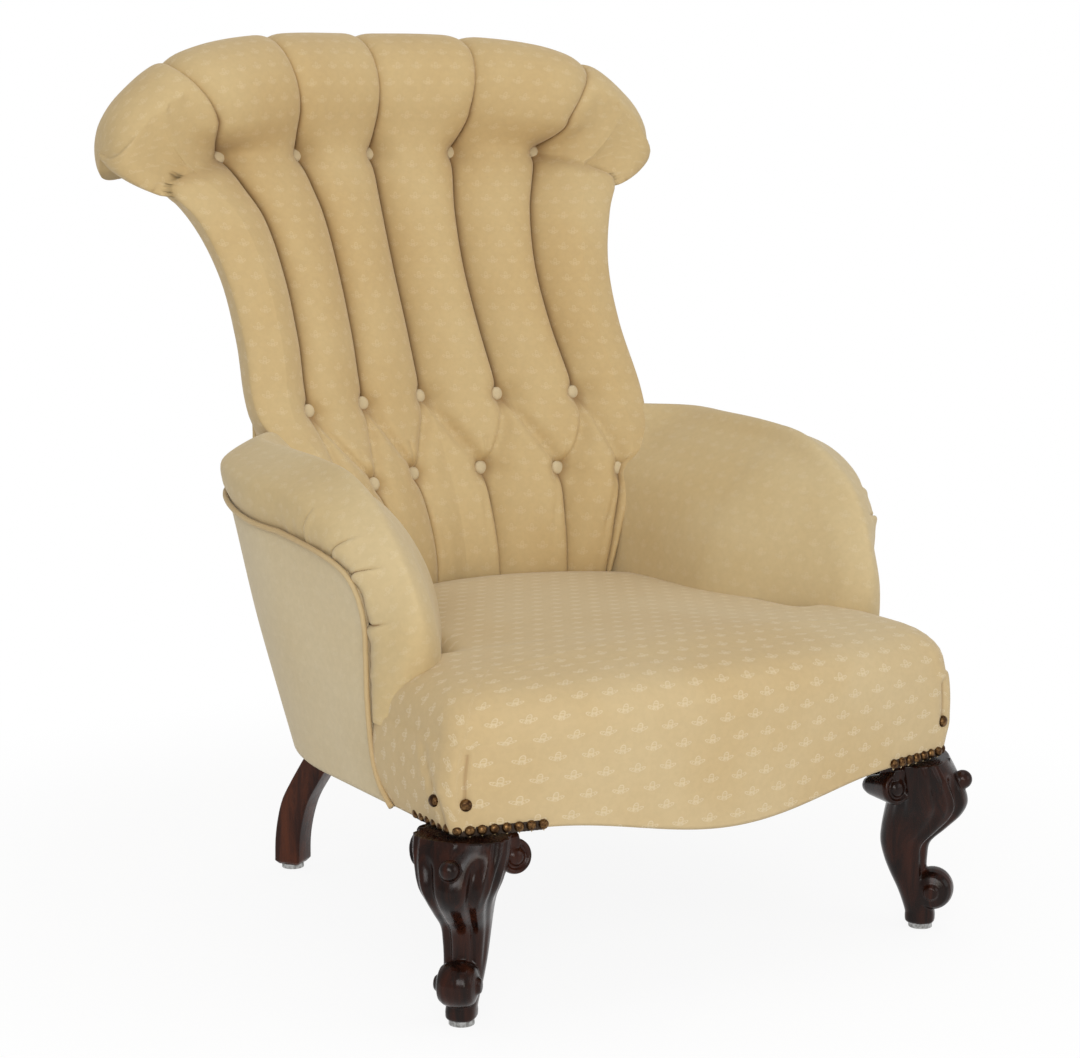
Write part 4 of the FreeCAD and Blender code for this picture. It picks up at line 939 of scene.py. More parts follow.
def add_wraps(points, faces, uvs, wrap, across, up):
    # Both sides' wraps, the left one turned over
    for sign in (1, -1):
        start = len(points)
        points += list(wrap.reshape(-1, 3) * [sign, 1, 1])
        wrap_faces = grid_faces(WRAP_ROWS, WRAP_COLUMNS + 1, start)
        if sign < 0:
            wrap_faces = [face[::-1] for face in wrap_faces]
        faces += wrap_faces
        length = np.cumsum(np.linalg.norm(np.diff(wrap, axis=1), axis=2), 1)
        length = np.concatenate([np.zeros((WRAP_ROWS, 1)), length], 1)
        first = OUTER_GAP * GAP_COLUMNS
        edge_u = across[:WRAP_ROWS, -1:] - across[:WRAP_ROWS, first:first + 1]
        for face in wrap_faces:
            for i in face:
                r, c = divmod(i - start, WRAP_COLUMNS + 1)
                uvs.append((sign * (edge_u[r, 0] + length[r, c]), up[r, OUTER_SEAM]))


def add_rear(points, faces, heights, rows, columns):
    # The rear of the stuffing, hidden inside the outside back, and the faces that close it to the cover
    levels = [int(round(k)) for k in np.linspace(0, BACK_ROWS - 1, REAR_LEVELS)]
    stride = (columns - 1) // REAR_STEPS
    rear_start = len(points)
    for level in levels:
        z = heights[level]
        span = back_arc(z)[0] - REAR_MARGIN
        for k in range(REAR_STEPS + 1):
            x = mix(-span, span, k / REAR_STEPS)
            points.append((x, back_arc_y(x, z, STUFFING_LAYER), z))
    faces += [face[::-1] for face in grid_faces(len(levels), REAR_STEPS + 1, rear_start)]
    side_starts = {1: rows * columns, -1: rows * columns + WRAP_ROWS * (WRAP_COLUMNS + 1)}

    def wrap_end(sign, r):
        return side_starts[sign] + r * (WRAP_COLUMNS + 1) + WRAP_COLUMNS

    for sign, column in ((1, REAR_STEPS), (-1, 0)):
        for k, (low, high) in enumerate(zip(levels, levels[1:])):
            outer_edge = [wrap_end(sign, r) for r in range(low, high + 1)]
            inner_edge = [rear_start + (k + up) * (REAR_STEPS + 1) + column for up in (1, 0)]
            faces.append(tuple(outer_edge + inner_edge))
    top_row = rear_start + (len(levels) - 1) * (REAR_STEPS + 1)
    last_row = (rows - 1) * columns
    for k in range(REAR_STEPS):
        strip = list(range(k * stride, (k + 1) * stride + 1))
        faces.append(tuple([last_row + c for c in strip] + [top_row + k + 1, top_row + k]))
        faces.append(tuple(strip[::-1] + [rear_start + k, rear_start + k + 1]))
    for sign, column in ((1, REAR_STEPS), (-1, 0)):
        climb = [wrap_end(sign, r) for r in range(BACK_ROWS - 1, WRAP_ROWS)]
        faces.append(tuple(climb + [top_row + column]))
        floor_row = [side_starts[sign] + c for c in range(WRAP_COLUMNS + 1)]
        faces.append(tuple(floor_row + [rear_start + column]))


def make_fluted_back():
    heights, turns, valley, crest = back_columns()
    full = back_fullness(heights, turns, valley)
    right = valley + (crest - valley) * full[..., None]
    round_ends(right)
    press_buttons(right, valley)
    wrap = wrap_side(right, heights)
    sheet = np.concatenate([right[:, :0:-1] * [-1, 1, 1], right], 1)
    rows, columns = sheet.shape[:2]
    points, faces = list(sheet.reshape(-1, 3)), grid_faces(rows, columns)
    across, up = cloth_lengths(right, crest)
    uvs = sheet_uvs(heights, across, up)
    add_wraps(points, faces, uvs, wrap, across, up)
    shown = len(faces)
    add_rear(points, faces, heights, rows, columns)
    for face in faces[shown:]:
        uvs += [(0.0, 0.0)] * len(face)
    # Painted shade in the seams and folds, by how far each point lies below the stuffing's crest
    crease_shading = list(1 - np.concatenate([full[:, :0:-1], full], 1).ravel())
    crease_shading += [0.0] * (len(points) - len(crease_shading))
    return make_mesh("fluted_back", points, faces, uvs, back_cover, crease_shading)


fluted_back = make_fluted_back()
dress(fluted_back, "damask", "inside_back", "top_roll")


# Buttons

def turned_form(profile, centre, axis, sides=24):
    # Rings of a turned form: rise along the axis and radius
    axis = Vector(axis).normalized()
    side = axis.orthogonal().normalized()
    other = axis.cross(side)
    rings = []
    for rise, radius in profile:
        ring = [Vector(centre) + axis * rise + (side * math.cos(a) + other * math.sin(a)) * radius
                for a in np.linspace(0, 2 * math.pi, sides, endpoint=False)]
        rings.append([list(p) for p in ring])
    return rings


def join_rings(name, forms, material):
    points, faces = [], []
    for rings in forms:
        rings = np.array(rings)
        rows, columns = rings.shape[:2]
        start = len(points)
        points += list(rings.reshape(-1, 3))
        faces += grid_faces(rows, columns, start, loop=True)
        faces.append(tuple(range(start + columns - 1, start - 1, -1)))
        faces.append(tuple(range(start + (rows - 1) * columns, start + rows * columns)))
    return make_mesh(name, points, faces, None, material)


def make_buttons():
    forms = []
    tilt = math.radians(15)
    for place in button_places():
        turns = np.linspace(-0.6, math.pi / 2 - 0.02, 10)
        profile = [(0.0022 + math.sin(t) * (BUTTON_HEIGHT - 0.0022 if t > 0 else 0.002),
                    BUTTON_DIAMETER / 2 * math.cos(t) ** (0.55 if t > 0 else 1.0)) for t in turns]
        lift = np.array([0, BUTTON_SINK - 0.0010, 0.0])
        forms.append(turned_form(profile, place + lift, (0, -math.cos(tilt), math.sin(tilt))))
    return join_rings("covered_buttons", forms, plain_cover)


dress(make_buttons(), "damask", "back_buttons")


# Seat

def arc(a, middle, b, count):
    # Places on the arc through three places in plan, without b
    a, middle, b = [np.array(p, float) for p in (a, middle, b)]
    mat = np.array([middle - a, b - a]) * 2
    rhs = np.array([middle @ middle - a @ a, b @ b - a @ a])
    centre = np.linalg.solve(mat, rhs)
    start, mid, end = [math.atan2(*(p - centre)[::-1]) for p in (a, middle, b)]
    turn = (end - start) % (2 * math.pi)
    if (mid - start) % (2 * math.pi) > turn:
        turn -= 2 * math.pi
    radius = np.linalg.norm(a - centre)
    angles = start + turn * np.arange(count) / count
    return [centre + radius * np.array([math.cos(t), math.sin(t)]) for t in angles]


def line(a, b, count):
    return [mix(np.array(a, float), np.array(b, float), k / count) for k in range(count)]


def seat_outline(inset, inner_inset, corner):
    side = HALF_SEAT - inset
    round_off = corner * (1 - math.sqrt(0.5))
    shoulder_y = SEAT_SHOULDER_Y - inner_inset
    inner, rear_inner = SEAT_FRONT_INNER_HALF - inner_inset, SEAT_INNER_HALF - inner_inset
    round_in = SEAT_SHOULDER_RADIUS * (1 - math.sqrt(0.5))
    corner_y = FRONT_Y + SEAT_BOW + inset
    front_corner = (side - corner, corner_y)
    side_start = (side, corner_y + corner)
    rear = SEAT_REAR_SIDE_Y - inner_inset
    right = arc(front_corner, (side - round_off, corner_y + round_off), side_start, 16)
    right += line(side_start, (side, shoulder_y), 20)
    right += line((side, shoulder_y), (inner + SEAT_SHOULDER_RADIUS, shoulder_y), 16)
    right += arc((inner + SEAT_SHOULDER_RADIUS, shoulder_y), (inner + round_in, shoulder_y + round_in),
                 (inner, shoulder_y + SEAT_SHOULDER_RADIUS), 10)
    right += line((inner, shoulder_y + SEAT_SHOULDER_RADIUS), (rear_inner, rear), 30)
    front = arc((-front_corner[0], corner_y), (0, FRONT_Y + inset), front_corner, 72)
    back = arc((rear_inner, rear), (0, SEAT_REAR_Y - inner_inset), (-rear_inner, rear), 36)
    left = [np.array([-p[0], p[1]]) for p in reversed(right[1:])]
    return np.array(front + right + back + [np.array([-rear_inner, rear])] + left)


def apron_bottom(x):
    leg_side = HALF_SEAT - LEG_FLAT
    wave = (1 + math.cos(math.pi * min(1.0, abs(x) / leg_side))) / 2
    return APRON_CORNER_HEIGHT - APRON_DIP * wave


SEAT_PROFILE = (
    (0.00, 0.000, 0.00), (0.12, 0.005, 0.00), (0.24, 0.022, 0.00), (0.36, 0.060, 0.00), (0.47, 0.130, 0.01),
    (0.57, 0.230, 0.04), (0.66, 0.360, 0.08), (0.73, 0.520, 0.13), (0.785, 0.700, 0.19), (0.825, 0.900, 0.25),
    (0.855, 1.100, 0.30),
)


# Pleats at the front corners of the seat: places along each, then its half width and depth
SEAT_PLEATS = (
    (((0.293, -0.330, 0.258), (0.2935, -0.345, 0.228), (0.2905, -0.352, 0.214)), 0.0045, 0.0040),
    (((0.2895, -0.359, 0.211), (0.286, -0.360, 0.178)), 0.0040, 0.0034),
    (((0.274, -0.380, 0.256), (0.276, -0.379, 0.236), (0.276, -0.379, 0.216)), 0.0045, 0.0036),
)


def pleat_seat(points):
    # Presses the corner pleats in, with a little fullness beside each, and gives how much painted shade lies
    # in each groove
    crease = np.zeros(len(points))
    for side in (1, -1):
        for path, wide, deep in SEAT_PLEATS:
            gap = distance_to(points, [(side * p[0], p[1], p[2]) for p in path])
            way = np.array([side * 0.8, -0.6, 0.0])
            groove, lip = np.exp(-(gap / wide) ** 2), np.exp(-((gap - 0.010) / 0.006) ** 2)
            points = points + (0.0012 * lip - deep * groove)[:, None] * way
            crease = np.maximum(crease, groove)
    return points, crease


SEAT_LEAN_ROWS, SEAT_LEAN_END, SEAT_LID_ROWS = 30, 0.97, 16
SEAT_UNDER_SIZE, SEAT_INSIDE_SIZE = 0.985, 0.982


def make_seat():
    rings = []
    for t in np.linspace(0.0, SEAT_LEAN_END, SEAT_LEAN_ROWS):
        inset = SEAT_FRONT_BULGE * (1 - t)
        outline = seat_outline(inset, 0, mix(APRON_CORNER, SEAT_CORNER * 0.8, t))
        front = outline[:, 1] < SEAT_SHOULDER_Y - 0.002
        low = np.array([apron_bottom(p[0]) if p[1] < SEAT_SHOULDER_Y - 0.01 else APRON_CORNER_HEIGHT
                        for p in outline])
        z = mix(low, SEAT_EDGE_HEIGHT, t)
        # The sides swell out over the corners
        swell = SEAT_SIDE_BULGE * math.sin(math.pi * min(1.0, t * 1.02)) ** 0.8
        beside = ease((np.abs(outline[:, 0]) - 0.20) / 0.06) * front
        outline[:, 0] += np.sign(outline[:, 0]) * beside * (swell + 0.002)
        rings.append(np.column_stack([outline, z]))
    for share, front_share, inner_share in SEAT_PROFILE:
        corner = mix(SEAT_CORNER * 0.85, SEAT_CORNER, min(1.0, 2 * share))
        outline = seat_outline(front_share * SEAT_ROLL, inner_share * SEAT_ROLL, corner)
        rings.append(np.column_stack([outline, np.full(len(outline), SEAT_EDGE_HEIGHT + share * SEAT_RISE)]))
    centre = np.array([0, SEAT_CENTRE_Y])
    last = rings[-1][:, :2]
    for size in np.linspace(1, 0, SEAT_LID_ROWS)[1:]:
        rise = mix(1.0, SEAT_PROFILE[-1][0], size ** 2.0)
        flat = centre + (last - centre) * max(size, 0.001)
        rings.append(np.column_stack([flat, np.full(len(flat), SEAT_EDGE_HEIGHT + rise * SEAT_RISE)]))
    rings = np.array(rings)
    # Plan place plus the unrolled drop, out along the outline's own direction
    steps = np.linalg.norm(np.diff(rings, axis=0), axis=2)
    drop = np.concatenate([np.cumsum(steps[::-1], 0)[::-1], np.zeros((1, rings.shape[1]))])
    top = SEAT_LEAN_ROWS + len(SEAT_PROFILE)
    uv = rings[..., :2].copy()
    flat = rings[top, :, :2]
    way = np.zeros_like(flat)
    edge_x, edge_y = rings[SEAT_LEAN_ROWS, :, 0], rings[SEAT_LEAN_ROWS, :, 1]
    facing_side = (np.abs(edge_x) > HALF_SEAT - 0.012) & (edge_y < SEAT_SHOULDER_Y)
    way[:, 1] = np.where(facing_side, 0.0, np.where(edge_y < SEAT_SHOULDER_Y - 0.01, -1.0, 1.0))
    way[:, 0] = np.where(facing_side, np.sign(edge_x), 0.0)
    for k in range(top):
        uv[k] = flat + way * (drop[k] - drop[top])[:, None]
        uv[k, facing_side, 1] = rings[k, facing_side, 1]
    pleated, crease = pleat_seat(rings.reshape(-1, 3))
    points = [tuple(p) for p in pleated]
    rows, columns = rings.shape[:2]
    inner = rings[0] * [SEAT_UNDER_SIZE, SEAT_UNDER_SIZE, 1] + [0, 0, 0.002]
    lifted = rings[SEAT_LEAN_ROWS // 2] * [SEAT_INSIDE_SIZE, SEAT_INSIDE_SIZE, 1]
    points += [tuple(p) for p in inner] + [tuple(p) for p in lifted]
    faces = grid_faces(rows, columns, loop=True)
    flat_uv = list(uv.reshape(-1, 2)) + [(0, 0)] * (2 * columns + 1)
    faces += [face[::-1] for face in grid_faces(2, columns, rows * columns, loop=True)]
    rim = rows * columns
    faces += [((c + 1) % columns, c, rim + c, rim + (c + 1) % columns) for c in range(columns)]
    middle = len(points)
    points.append((0, SEAT_CENTRE_Y, lifted[:, 2].mean()))
    lid = (rows + 1) * columns
    faces += [(lid + (c + 1) % columns, lid + c, middle) for c in range(columns)]
    # Painted shade in the corner pleats' grooves, at four fifths of their depth
    crease_shading = list(crease * 0.8) + [0.0] * (len(points) - len(crease))
    return make_mesh("seat_cushion", points, faces, corner_uvs(faces, flat_uv), cover, crease_shading)


seat = dress(make_seat(), "damask", "seat_cover")


LEG_EDGE = 0.0028


def soft_square(centre, along, across, turn):
    # A square with rounded corners, turned in plan
    cos, sin = math.cos(turn), math.sin(turn)
    ring = []
    for side_a, side_b, start in ((1, 1, 0), (-1, 1, 90), (-1, -1, 180), (1, -1, 270)):
        for k in range(5):
            t = math.radians(start + 22.5 * k)
            a = side_a * (along / 2 - LEG_EDGE) + LEG_EDGE * math.cos(t)
            b = side_b * (across / 2 - LEG_EDGE) + LEG_EDGE * math.sin(t)
            ring.append((centre[0] + a * cos - b * sin, centre[1] + a * sin + b * cos, centre[2]))
    return ring


# Arms

def side_plan(z, inset):
    share = (z - APRON_CORNER_HEIGHT) / (ARM_WELT_HEIGHT - APRON_CORNER_HEIGHT)
    rows = [[mix(a, b, share) for a, b in zip(low, high)]
            for low, high in zip(PANEL_LOW_SHARES, PANEL_HIGH_SHARES)]
    start, middle, end = [np.array([row[0] * HALF_WIDTH, depth(row[1])]) for row in rows]
    front_depth, front_half = [curve(WELT_SHARES, z / HEIGHT, column) for column in (1, 2)]
    front = np.array([front_half * HALF_WIDTH, depth(front_depth)])
    mat = np.array([middle - start, end - start]) * 2
    centre = np.linalg.solve(mat, np.array([middle @ middle - start @ start, end @ end - start @ start]))
    out = [front - [inset, 0], start - [inset, 0]]
    for p in (middle, end):
        way = (centre - p) / np.linalg.norm(centre - p)
        out.append(p + way * inset)
    return out


def panel_line(z, inset):
    a, b, c, d = side_plan(z, inset)
    return np.array(line(a, b, 16) + arc(b, c, d, 24) + [d])


def panel_climb(y, z):
    return PANEL_CLIMB * float(ease((y + 0.10) / 0.18) * ease((z - 0.30) / 0.12))


def arm_welt_path(reach=-WELT_DIAMETER / 2, count=150):
    path = []
    for z in np.linspace(WELT_SHARES[0][0], WELT_SHARES[-1][0], 30) * HEIGHT:
        path.append(list(side_plan(z, reach)[0]) + [z])
    z = path[-1][2]
    a, b, c, d = side_plan(z, reach)
    path += [[p[0], p[1], z] for p in line(a, b, 3)[1:] + arc(b, c, d, 8) + [d]]
    path = smooth_path(path, count)
    for place in path:
        place[2] += panel_climb(place[1], place[2])
    return path


ARM_POINTS, ARM_LEVEL_RINGS, ARM_FRONT_RINGS = 84, 60, 320
# The welt is looked for above this reach from the foot
LEAST_WELT_REACH = 0.03
# Pleats: half width and depth of the groove, height of the lip beside it, where along the ring they fade,
# and how far they slant
PLEAT_WIDTH, PLEAT_DEPTH, PLEAT_LIP = 0.0013, 0.0030, 0.0020
PLEAT_FADE_START, PLEAT_FADE_SPAN, PLEAT_SLANT = 0.020, 0.024, 0.20
PULL_HEIGHT = 0.0008


def arm_ring(turn, y, welt):
    # One ring across the arm in the plane that leans forward by the turn, from the welt over the crown
    # to the foot of the inner side
    place = math.degrees(turn) if turn > 0 else (ARM_TURN_Y - y) * 1000
    row = [curve(ARM_SECTIONS, place, column) for column in range(1, len(ARM_SECTIONS[0]))]
    reach, outer, inner = row[0], row[1:4], row[4:]
    way = np.array([-math.sin(turn), math.cos(turn)])
    foot = np.array([y, ARM_TURN_HEIGHT])
    # The welt where this plane meets it
    out = (welt[:, 1:] - foot) @ np.array([way[1], -way[0]])
    along = (welt[:, 1:] - foot) @ way
    near = [k for k in range(len(welt) - 1) if out[k] * out[k + 1] <= 0 and along[k] > LEAST_WELT_REACH]
    k = near[0] if near else int(np.argmin(abs(out) + (along < LEAST_WELT_REACH)))
    t = out[k] / (out[k] - out[k + 1]) if near else 0.0
    welt_x, welt_r = mix(welt[k, 0], welt[k + 1, 0], t), mix(along[k], along[k + 1], t)
    keys = [(welt_x, welt_r)]
    keys += [(welt_x + step, mix(welt_r, reach, share)) for step, share in zip(outer, ARM_GAP_SHARES)]
    keys += [(x, share * reach) for x, share in zip(inner, ARM_INNER_SHARES)]
    path = smooth_path(keys, 400)
    run = np.concatenate([[0], np.cumsum(np.linalg.norm(np.diff(path, axis=0), axis=1))])
    at = run[-1] * np.linspace(0, 1, ARM_POINTS) ** 1.35
    path = np.column_stack([np.interp(at, run, path[:, c]) for c in (0, 1)])
    # Outward direction within the ring's plane
    ahead = np.gradient(path, axis=0)
    out_way = np.column_stack([ahead[:, 1], -ahead[:, 0]])
    out_way /= np.linalg.norm(out_way, axis=1)[:, None]
    if out_way[len(out_way) // 2] @ np.array([0, 1]) < 0:
        out_way = -out_way
    return path, out_way, at, run[-1], way, foot


def pleat_height(turn, y, run, at):
    # Gathers along the welt at the front of the arm, and small pulls between them, with how much painted
    # shade lies in each gather's groove
    total, crease = np.zeros(len(at)), np.zeros(len(at))
    fade = 1 - ease((at - PLEAT_FADE_START) / PLEAT_FADE_SPAN)
    place = math.degrees(turn) if turn > 0 else (y - ARM_TURN_Y) / 0.14 * -57.3
    for k, pleat in enumerate(ARM_PLEATS):
        apart = math.radians(place - pleat) * np.clip(run, 0.13, 0.2)
        apart = apart - PLEAT_SLANT * at + 0.003 * np.sin(at * 60 + k)
        groove = np.exp(-(apart / PLEAT_WIDTH) ** 2)
        lip = np.exp(-((apart - 0.0050) / 0.0050) ** 2) - 0.35 * np.exp(-((apart + 0.004) / 0.005) ** 2)
        total += fade * (PLEAT_LIP * lip - PLEAT_DEPTH * groove)
        crease = np.maximum(crease, fade * groove)
    pull = math.sin(place * 0.55) * math.sin(place * 0.21 + 1.0) * float(ease((place + 8) / 12))
    total += PULL_HEIGHT * pull * (1 - ease((at - 0.004) / 0.03)) * float(1 - ease((place - 80) / 15))
    return total, crease


def make_arm():
    welt = arm_welt_path(WELT_DIAMETER * 0.3, 400)
    places = [(0.0, y) for y in np.linspace(ARM_REAR_Y, ARM_TURN_Y, ARM_LEVEL_RINGS, endpoint=False)]
    places += [(turn, ARM_TURN_Y) for turn in np.linspace(0, ARM_TURN_END, ARM_FRONT_RINGS)]
    rings, uv, crease_shading = [], [], []
    for turn, y in places:
        path, out_way, at, length, way, foot = arm_ring(turn, y, welt)
        # The pleats' grooves also give the painted shade in the cloth's colour
        lift, crease = pleat_height(turn, y, path[:, 1], at)
        path = path + out_way * lift[:, None]
        ring = [(x, foot[0] + way[0] * r, foot[1] + way[1] * r) for x, r in path]
        flat = [(foot[0] + way[0] * (length - s), foot[1] + way[1] * (length - s)) for s in at]
        # Back under the stuffing, hidden by the outside panel
        hidden = [(path[0, 0] - 0.010, path[0, 1] - 0.004), (path[0, 0] - 0.030, path[0, 1] * 0.6),
                  (path[-1, 0] + 0.03, 0.0)]
        ring += [(x, foot[0] + way[0] * r, foot[1] + way[1] * r) for x, r in hidden]
        rings.append(ring)
        uv.append(flat + [flat[0]] * 3)
        crease_shading.append(list(crease) + [0.0] * 3)
    crease_shading = list(np.array(crease_shading).ravel()) + [0.0, 0.0]
    return ring_solid("arm_right", rings, np.array(uv), arm_cover, crease_shading)


# The timber inside the arm: the post's place, size and heights, then the rail's run, inset, height,
# half width and half height
ARM_POST_PLACE, ARM_POST_SIZE = (0.262, -0.186), (0.030, 0.032)
ARM_POST_HEIGHTS = (0.186, 0.250, 0.310, 0.380)
ARM_RAIL_ENDS, ARM_RAIL_INSET, ARM_RAIL_HEIGHT = (-0.150, 0.030), 0.042, 0.399
ARM_RAIL_HALVES = (0.018, 0.010)
BOX_CORNERS = ((-1, -1), (1, -1), (1, 1), (-1, 1))


def make_arm_timber():
    # The post and the rail inside the stuffing, hidden by it
    rings = [soft_square((*ARM_POST_PLACE, z), *ARM_POST_SIZE, 0.0) for z in ARM_POST_HEIGHTS]
    post = ring_solid("arm_frame_post_right", rings, None, beech)
    welt = arm_welt_path()
    level = welt[welt[:, 1] > -0.18]
    rings = []
    for y in np.linspace(*ARM_RAIL_ENDS, 10):
        x = np.interp(y, level[:, 1], level[:, 0]) - ARM_RAIL_INSET
        rings.append([(x + a * ARM_RAIL_HALVES[0], y, ARM_RAIL_HEIGHT + b * ARM_RAIL_HALVES[1])
                      for a, b in BOX_CORNERS])
    return post, ring_solid("arm_frame_rail_right", rings, None, beech)


for arm in dress_pair(make_arm(), "damask", "arm_pad"):
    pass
for part, node in zip(make_arm_timber(), ("arm_post", "arm_rail")):
    dress_pair(part, "beech", node)


# Outside arm panels and their piping

def make_panel():
    first, last = WELT_SHARES[0][0] * HEIGHT, WELT_SHARES[-1][0] * HEIGHT
    rings = []
    for z in np.linspace(first, last, 60):
        t = (z - first) / (last - first)
        puff = 0.0016 * math.sin(math.pi * t)
        outer, inner = panel_line(z, -puff), panel_line(z, PANEL_THICKNESS)
        loop = np.concatenate([outer, inner[::-1]])
        rings.append(np.column_stack([loop, [z + panel_climb(p[1], z) for p in loop]]))
    rings = np.array(rings)
    run = np.concatenate([[0], np.cumsum(np.linalg.norm(np.diff(rings[20], axis=0), axis=1))])
    uv = np.stack([np.broadcast_to(run, rings.shape[:2]) + rings[:, :1, 1], rings[..., 2]], 2)
    return ring_solid("outside_arm_cloth_right", rings, uv, plain_cover)


dress_pair(make_panel(), "damask", "outside_arm")
dress_pair(tube("arm_welt_right", arm_welt_path(), WELT_DIAMETER, piping_cover), "damask", "arm_piping")


# Outside back and its piping

def make_outside_back():
    rings = []
    low, high = OUTSIDE_BACK_SHARES[0][0] * HEIGHT, OUTSIDE_BACK_SHARES[-1][0] * HEIGHT
    for z in np.linspace(low, high, 70):
        half = back_arc(z)[0]
        xs = np.linspace(-half, half, 61)
        t = (z - low) / (high - low)
        puff = 0.002 * math.sin(math.pi * t)
        outer = [(x, back_arc_y(x, z) + puff * (1 - (x / half) ** 2), z) for x in xs]
        inner = [(x, back_arc_y(x, z, PANEL_THICKNESS), z) for x in xs[::-1]]
        rings.append(outer + inner)
    rings = np.array(rings)
    # The top edge tucks up under the roll
    rings[-1, :, 2] += 0.007
    uv = np.stack([rings[..., 0], rings[..., 2]], 2)
    return ring_solid("outside_back_cloth", rings, uv, plain_cover)


dress(make_outside_back(), "damask", "outside_back")


# The rail across the back at seat height: half length, then each corner's height and distance inside
# the cloth
STAY_HALF_LENGTH = 0.125
STAY_CORNERS = ((0.312, 0.030), (0.338, 0.030), (0.338, 0.010), (0.312, 0.010))


def make_stay_rail():
    rings = [[(x, back_arc_y(x, z, inset), z) for z, inset in STAY_CORNERS]
             for x in np.linspace(-STAY_HALF_LENGTH, STAY_HALF_LENGTH, 21)]
    return ring_solid("back_frame_stay", rings, None, beech)


dress(make_stay_rail(), "beech", "back_stay_rail")


# The back's welt ends under the roll, at these places
WELT_END = ((0.322, 0.305, 0.768), (0.331, 0.298, 0.776))


def back_welt_path():
    path = []
    for row in OUTSIDE_BACK_SHARES[2:]:
        z = row[0] * HEIGHT
        half = back_arc(z)[0]
        path.append([half + WELT_DIAMETER / 2, back_arc_y(half, z) - PANEL_THICKNESS, z])
    path[-1][2] -= 0.004
    path += [list(place) for place in WELT_END]
    return smooth_path(path, 120)


back_welt = tube("back_welt_right", back_welt_path(), WELT_DIAMETER, piping_cover)
for welt in (back_welt, mirrored(back_welt, "back_welt_left")):
    dress(welt, "damask", "back_piping")


# Front legs: carved in one piece, with a ridged knee, rolled ears and a scrolled foot

def rounded(turn, power):
    # A place on a ring between a circle (power 1) and a square (power near 0)
    a, b = math.cos(turn), math.sin(turn)
    return math.copysign(abs(a) ** power, a), math.copysign(abs(b) ** power, b)


def leg_body():
    rings = []
    for t in np.linspace(0, 1, 90):
        z = mix(GLIDE_TOP, FRONT_LEG_HEIGHT - 0.0004, t)
        front, rear, wide = [curve(FRONT_LEG_SHARES, t, column) * KNEE_REACH for column in (1, 2, 3)]
        long, middle = (front - rear) / 2, (front + rear) / 2
        knee = float(ease((z - 0.045) / 0.02)) * float(1 - ease((z - 0.150) / 0.020))
        shoulder = float(ease((z - 0.105) / 0.035))
        ring = []
        for turn in np.linspace(-math.pi, math.pi, 72, endpoint=False):
            degrees = abs(math.degrees(turn))
            # Ridge down the knee with a groove beside it, then fluting round the sides
            cut = 1.0
            cut -= 0.17 * knee * math.exp(-((degrees - 30) / 10) ** 2)
            cut += 0.04 * knee * math.exp(-(degrees / 8) ** 2)
            cut -= 0.07 * knee * math.exp(-((degrees - 72) / 9) ** 2)
            beside = float(ease((degrees - 35) / 15)) * float(1 - ease((degrees - 125) / 20))
            cut += 0.035 * shoulder * math.cos(math.radians(degrees) * 17) * beside
            a, b = rounded(turn, 0.82)
            ring.append((middle + long * a * cut, wide * b * cut, z))
        rings.append(ring)
    return rings


# Toe: height, half depth and half width
LEG_TOE = ((GLIDE_TOP, 0.0135, 0.0125), (0.0075, 0.0150, 0.0142), (0.013, 0.0152, 0.0144),
           (0.020, 0.0142, 0.0135), (0.030, 0.0125, 0.0125), (0.040, 0.0100, 0.0110))


def leg_toe():
    # The short foot under the scroll, a little wider where it meets the floor
    rings = []
    for z, reach, wide in LEG_TOE:
        ring = []
        for turn in np.linspace(-math.pi, math.pi, 40, endpoint=False):
            a, b = rounded(turn, 0.7)
            ring.append((-0.0005 + reach * a, wide * b, z))
        rings.append(ring)
    return rings


# Turned faces of the foot's scroll and of the ear: rise along the axis and radius
SCROLL_EYE = ((-0.0226, 0.0025), (-0.0222, 0.0058), (-0.0205, 0.0074), (-0.0186, 0.0080), (-0.0178, 0.0110),
              (-0.0160, 0.0160), (-0.0110, 0.0196), (-0.0040, 0.0212))
EAR_FACE = ((-0.0038, 0.0014), (-0.0034, 0.0048), (-0.0012, 0.0078), (0.0016, 0.0090), (0.0022, 0.0102),
            (-0.0004, 0.0122), (-0.0014, 0.0140), (-0.0004, 0.0158), (0.0030, 0.0166), (0.0120, 0.0152),
            (0.0260, 0.0128), (0.0400, 0.0104), (0.0480, 0.0075))


def ear_forms(side):
    # side 1 rolls back under the front rail, side -1 along the side rail, as its mirror about the diagonal
    def place(x, y, z):
        return (x, y, z) if side > 0 else (-y, -x, z)
    centre, axis = place(-0.048, -0.018, 0.155), place(0.0, 1.0, -0.14)
    forms = [turned_form(EAR_FACE, centre, axis, 40)]
    # The bracket that joins the ear to the leg's shoulder
    rings = []
    for t in np.linspace(0, 1, 14):
        x, y = mix(-0.052, 0.004, t), mix(-0.006, 0.004, t)
        low, high = mix(0.160, 0.126, float(ease(t))), 0.1772
        thick = mix(0.012, 0.021, t)
        ring = []
        for turn in np.linspace(0, 2 * math.pi, 20, endpoint=False):
            a, b = rounded(turn, 0.6)
            ripple = 1 + 0.05 * math.sin(turn * 7) * math.sin(math.pi * t)
            ring.append(place(x, y + thick * a * ripple, (high + low) / 2 + (high - low) / 2 * b))
        rings.append(ring)
    forms.append(rings)
    return forms


# Half side of the square shoulder, the step of the carved skin and how often it is smoothed
LEG_SHOULDER = 0.019
CARVING_STEP, CARVING_ROUNDS = 0.0011, 5


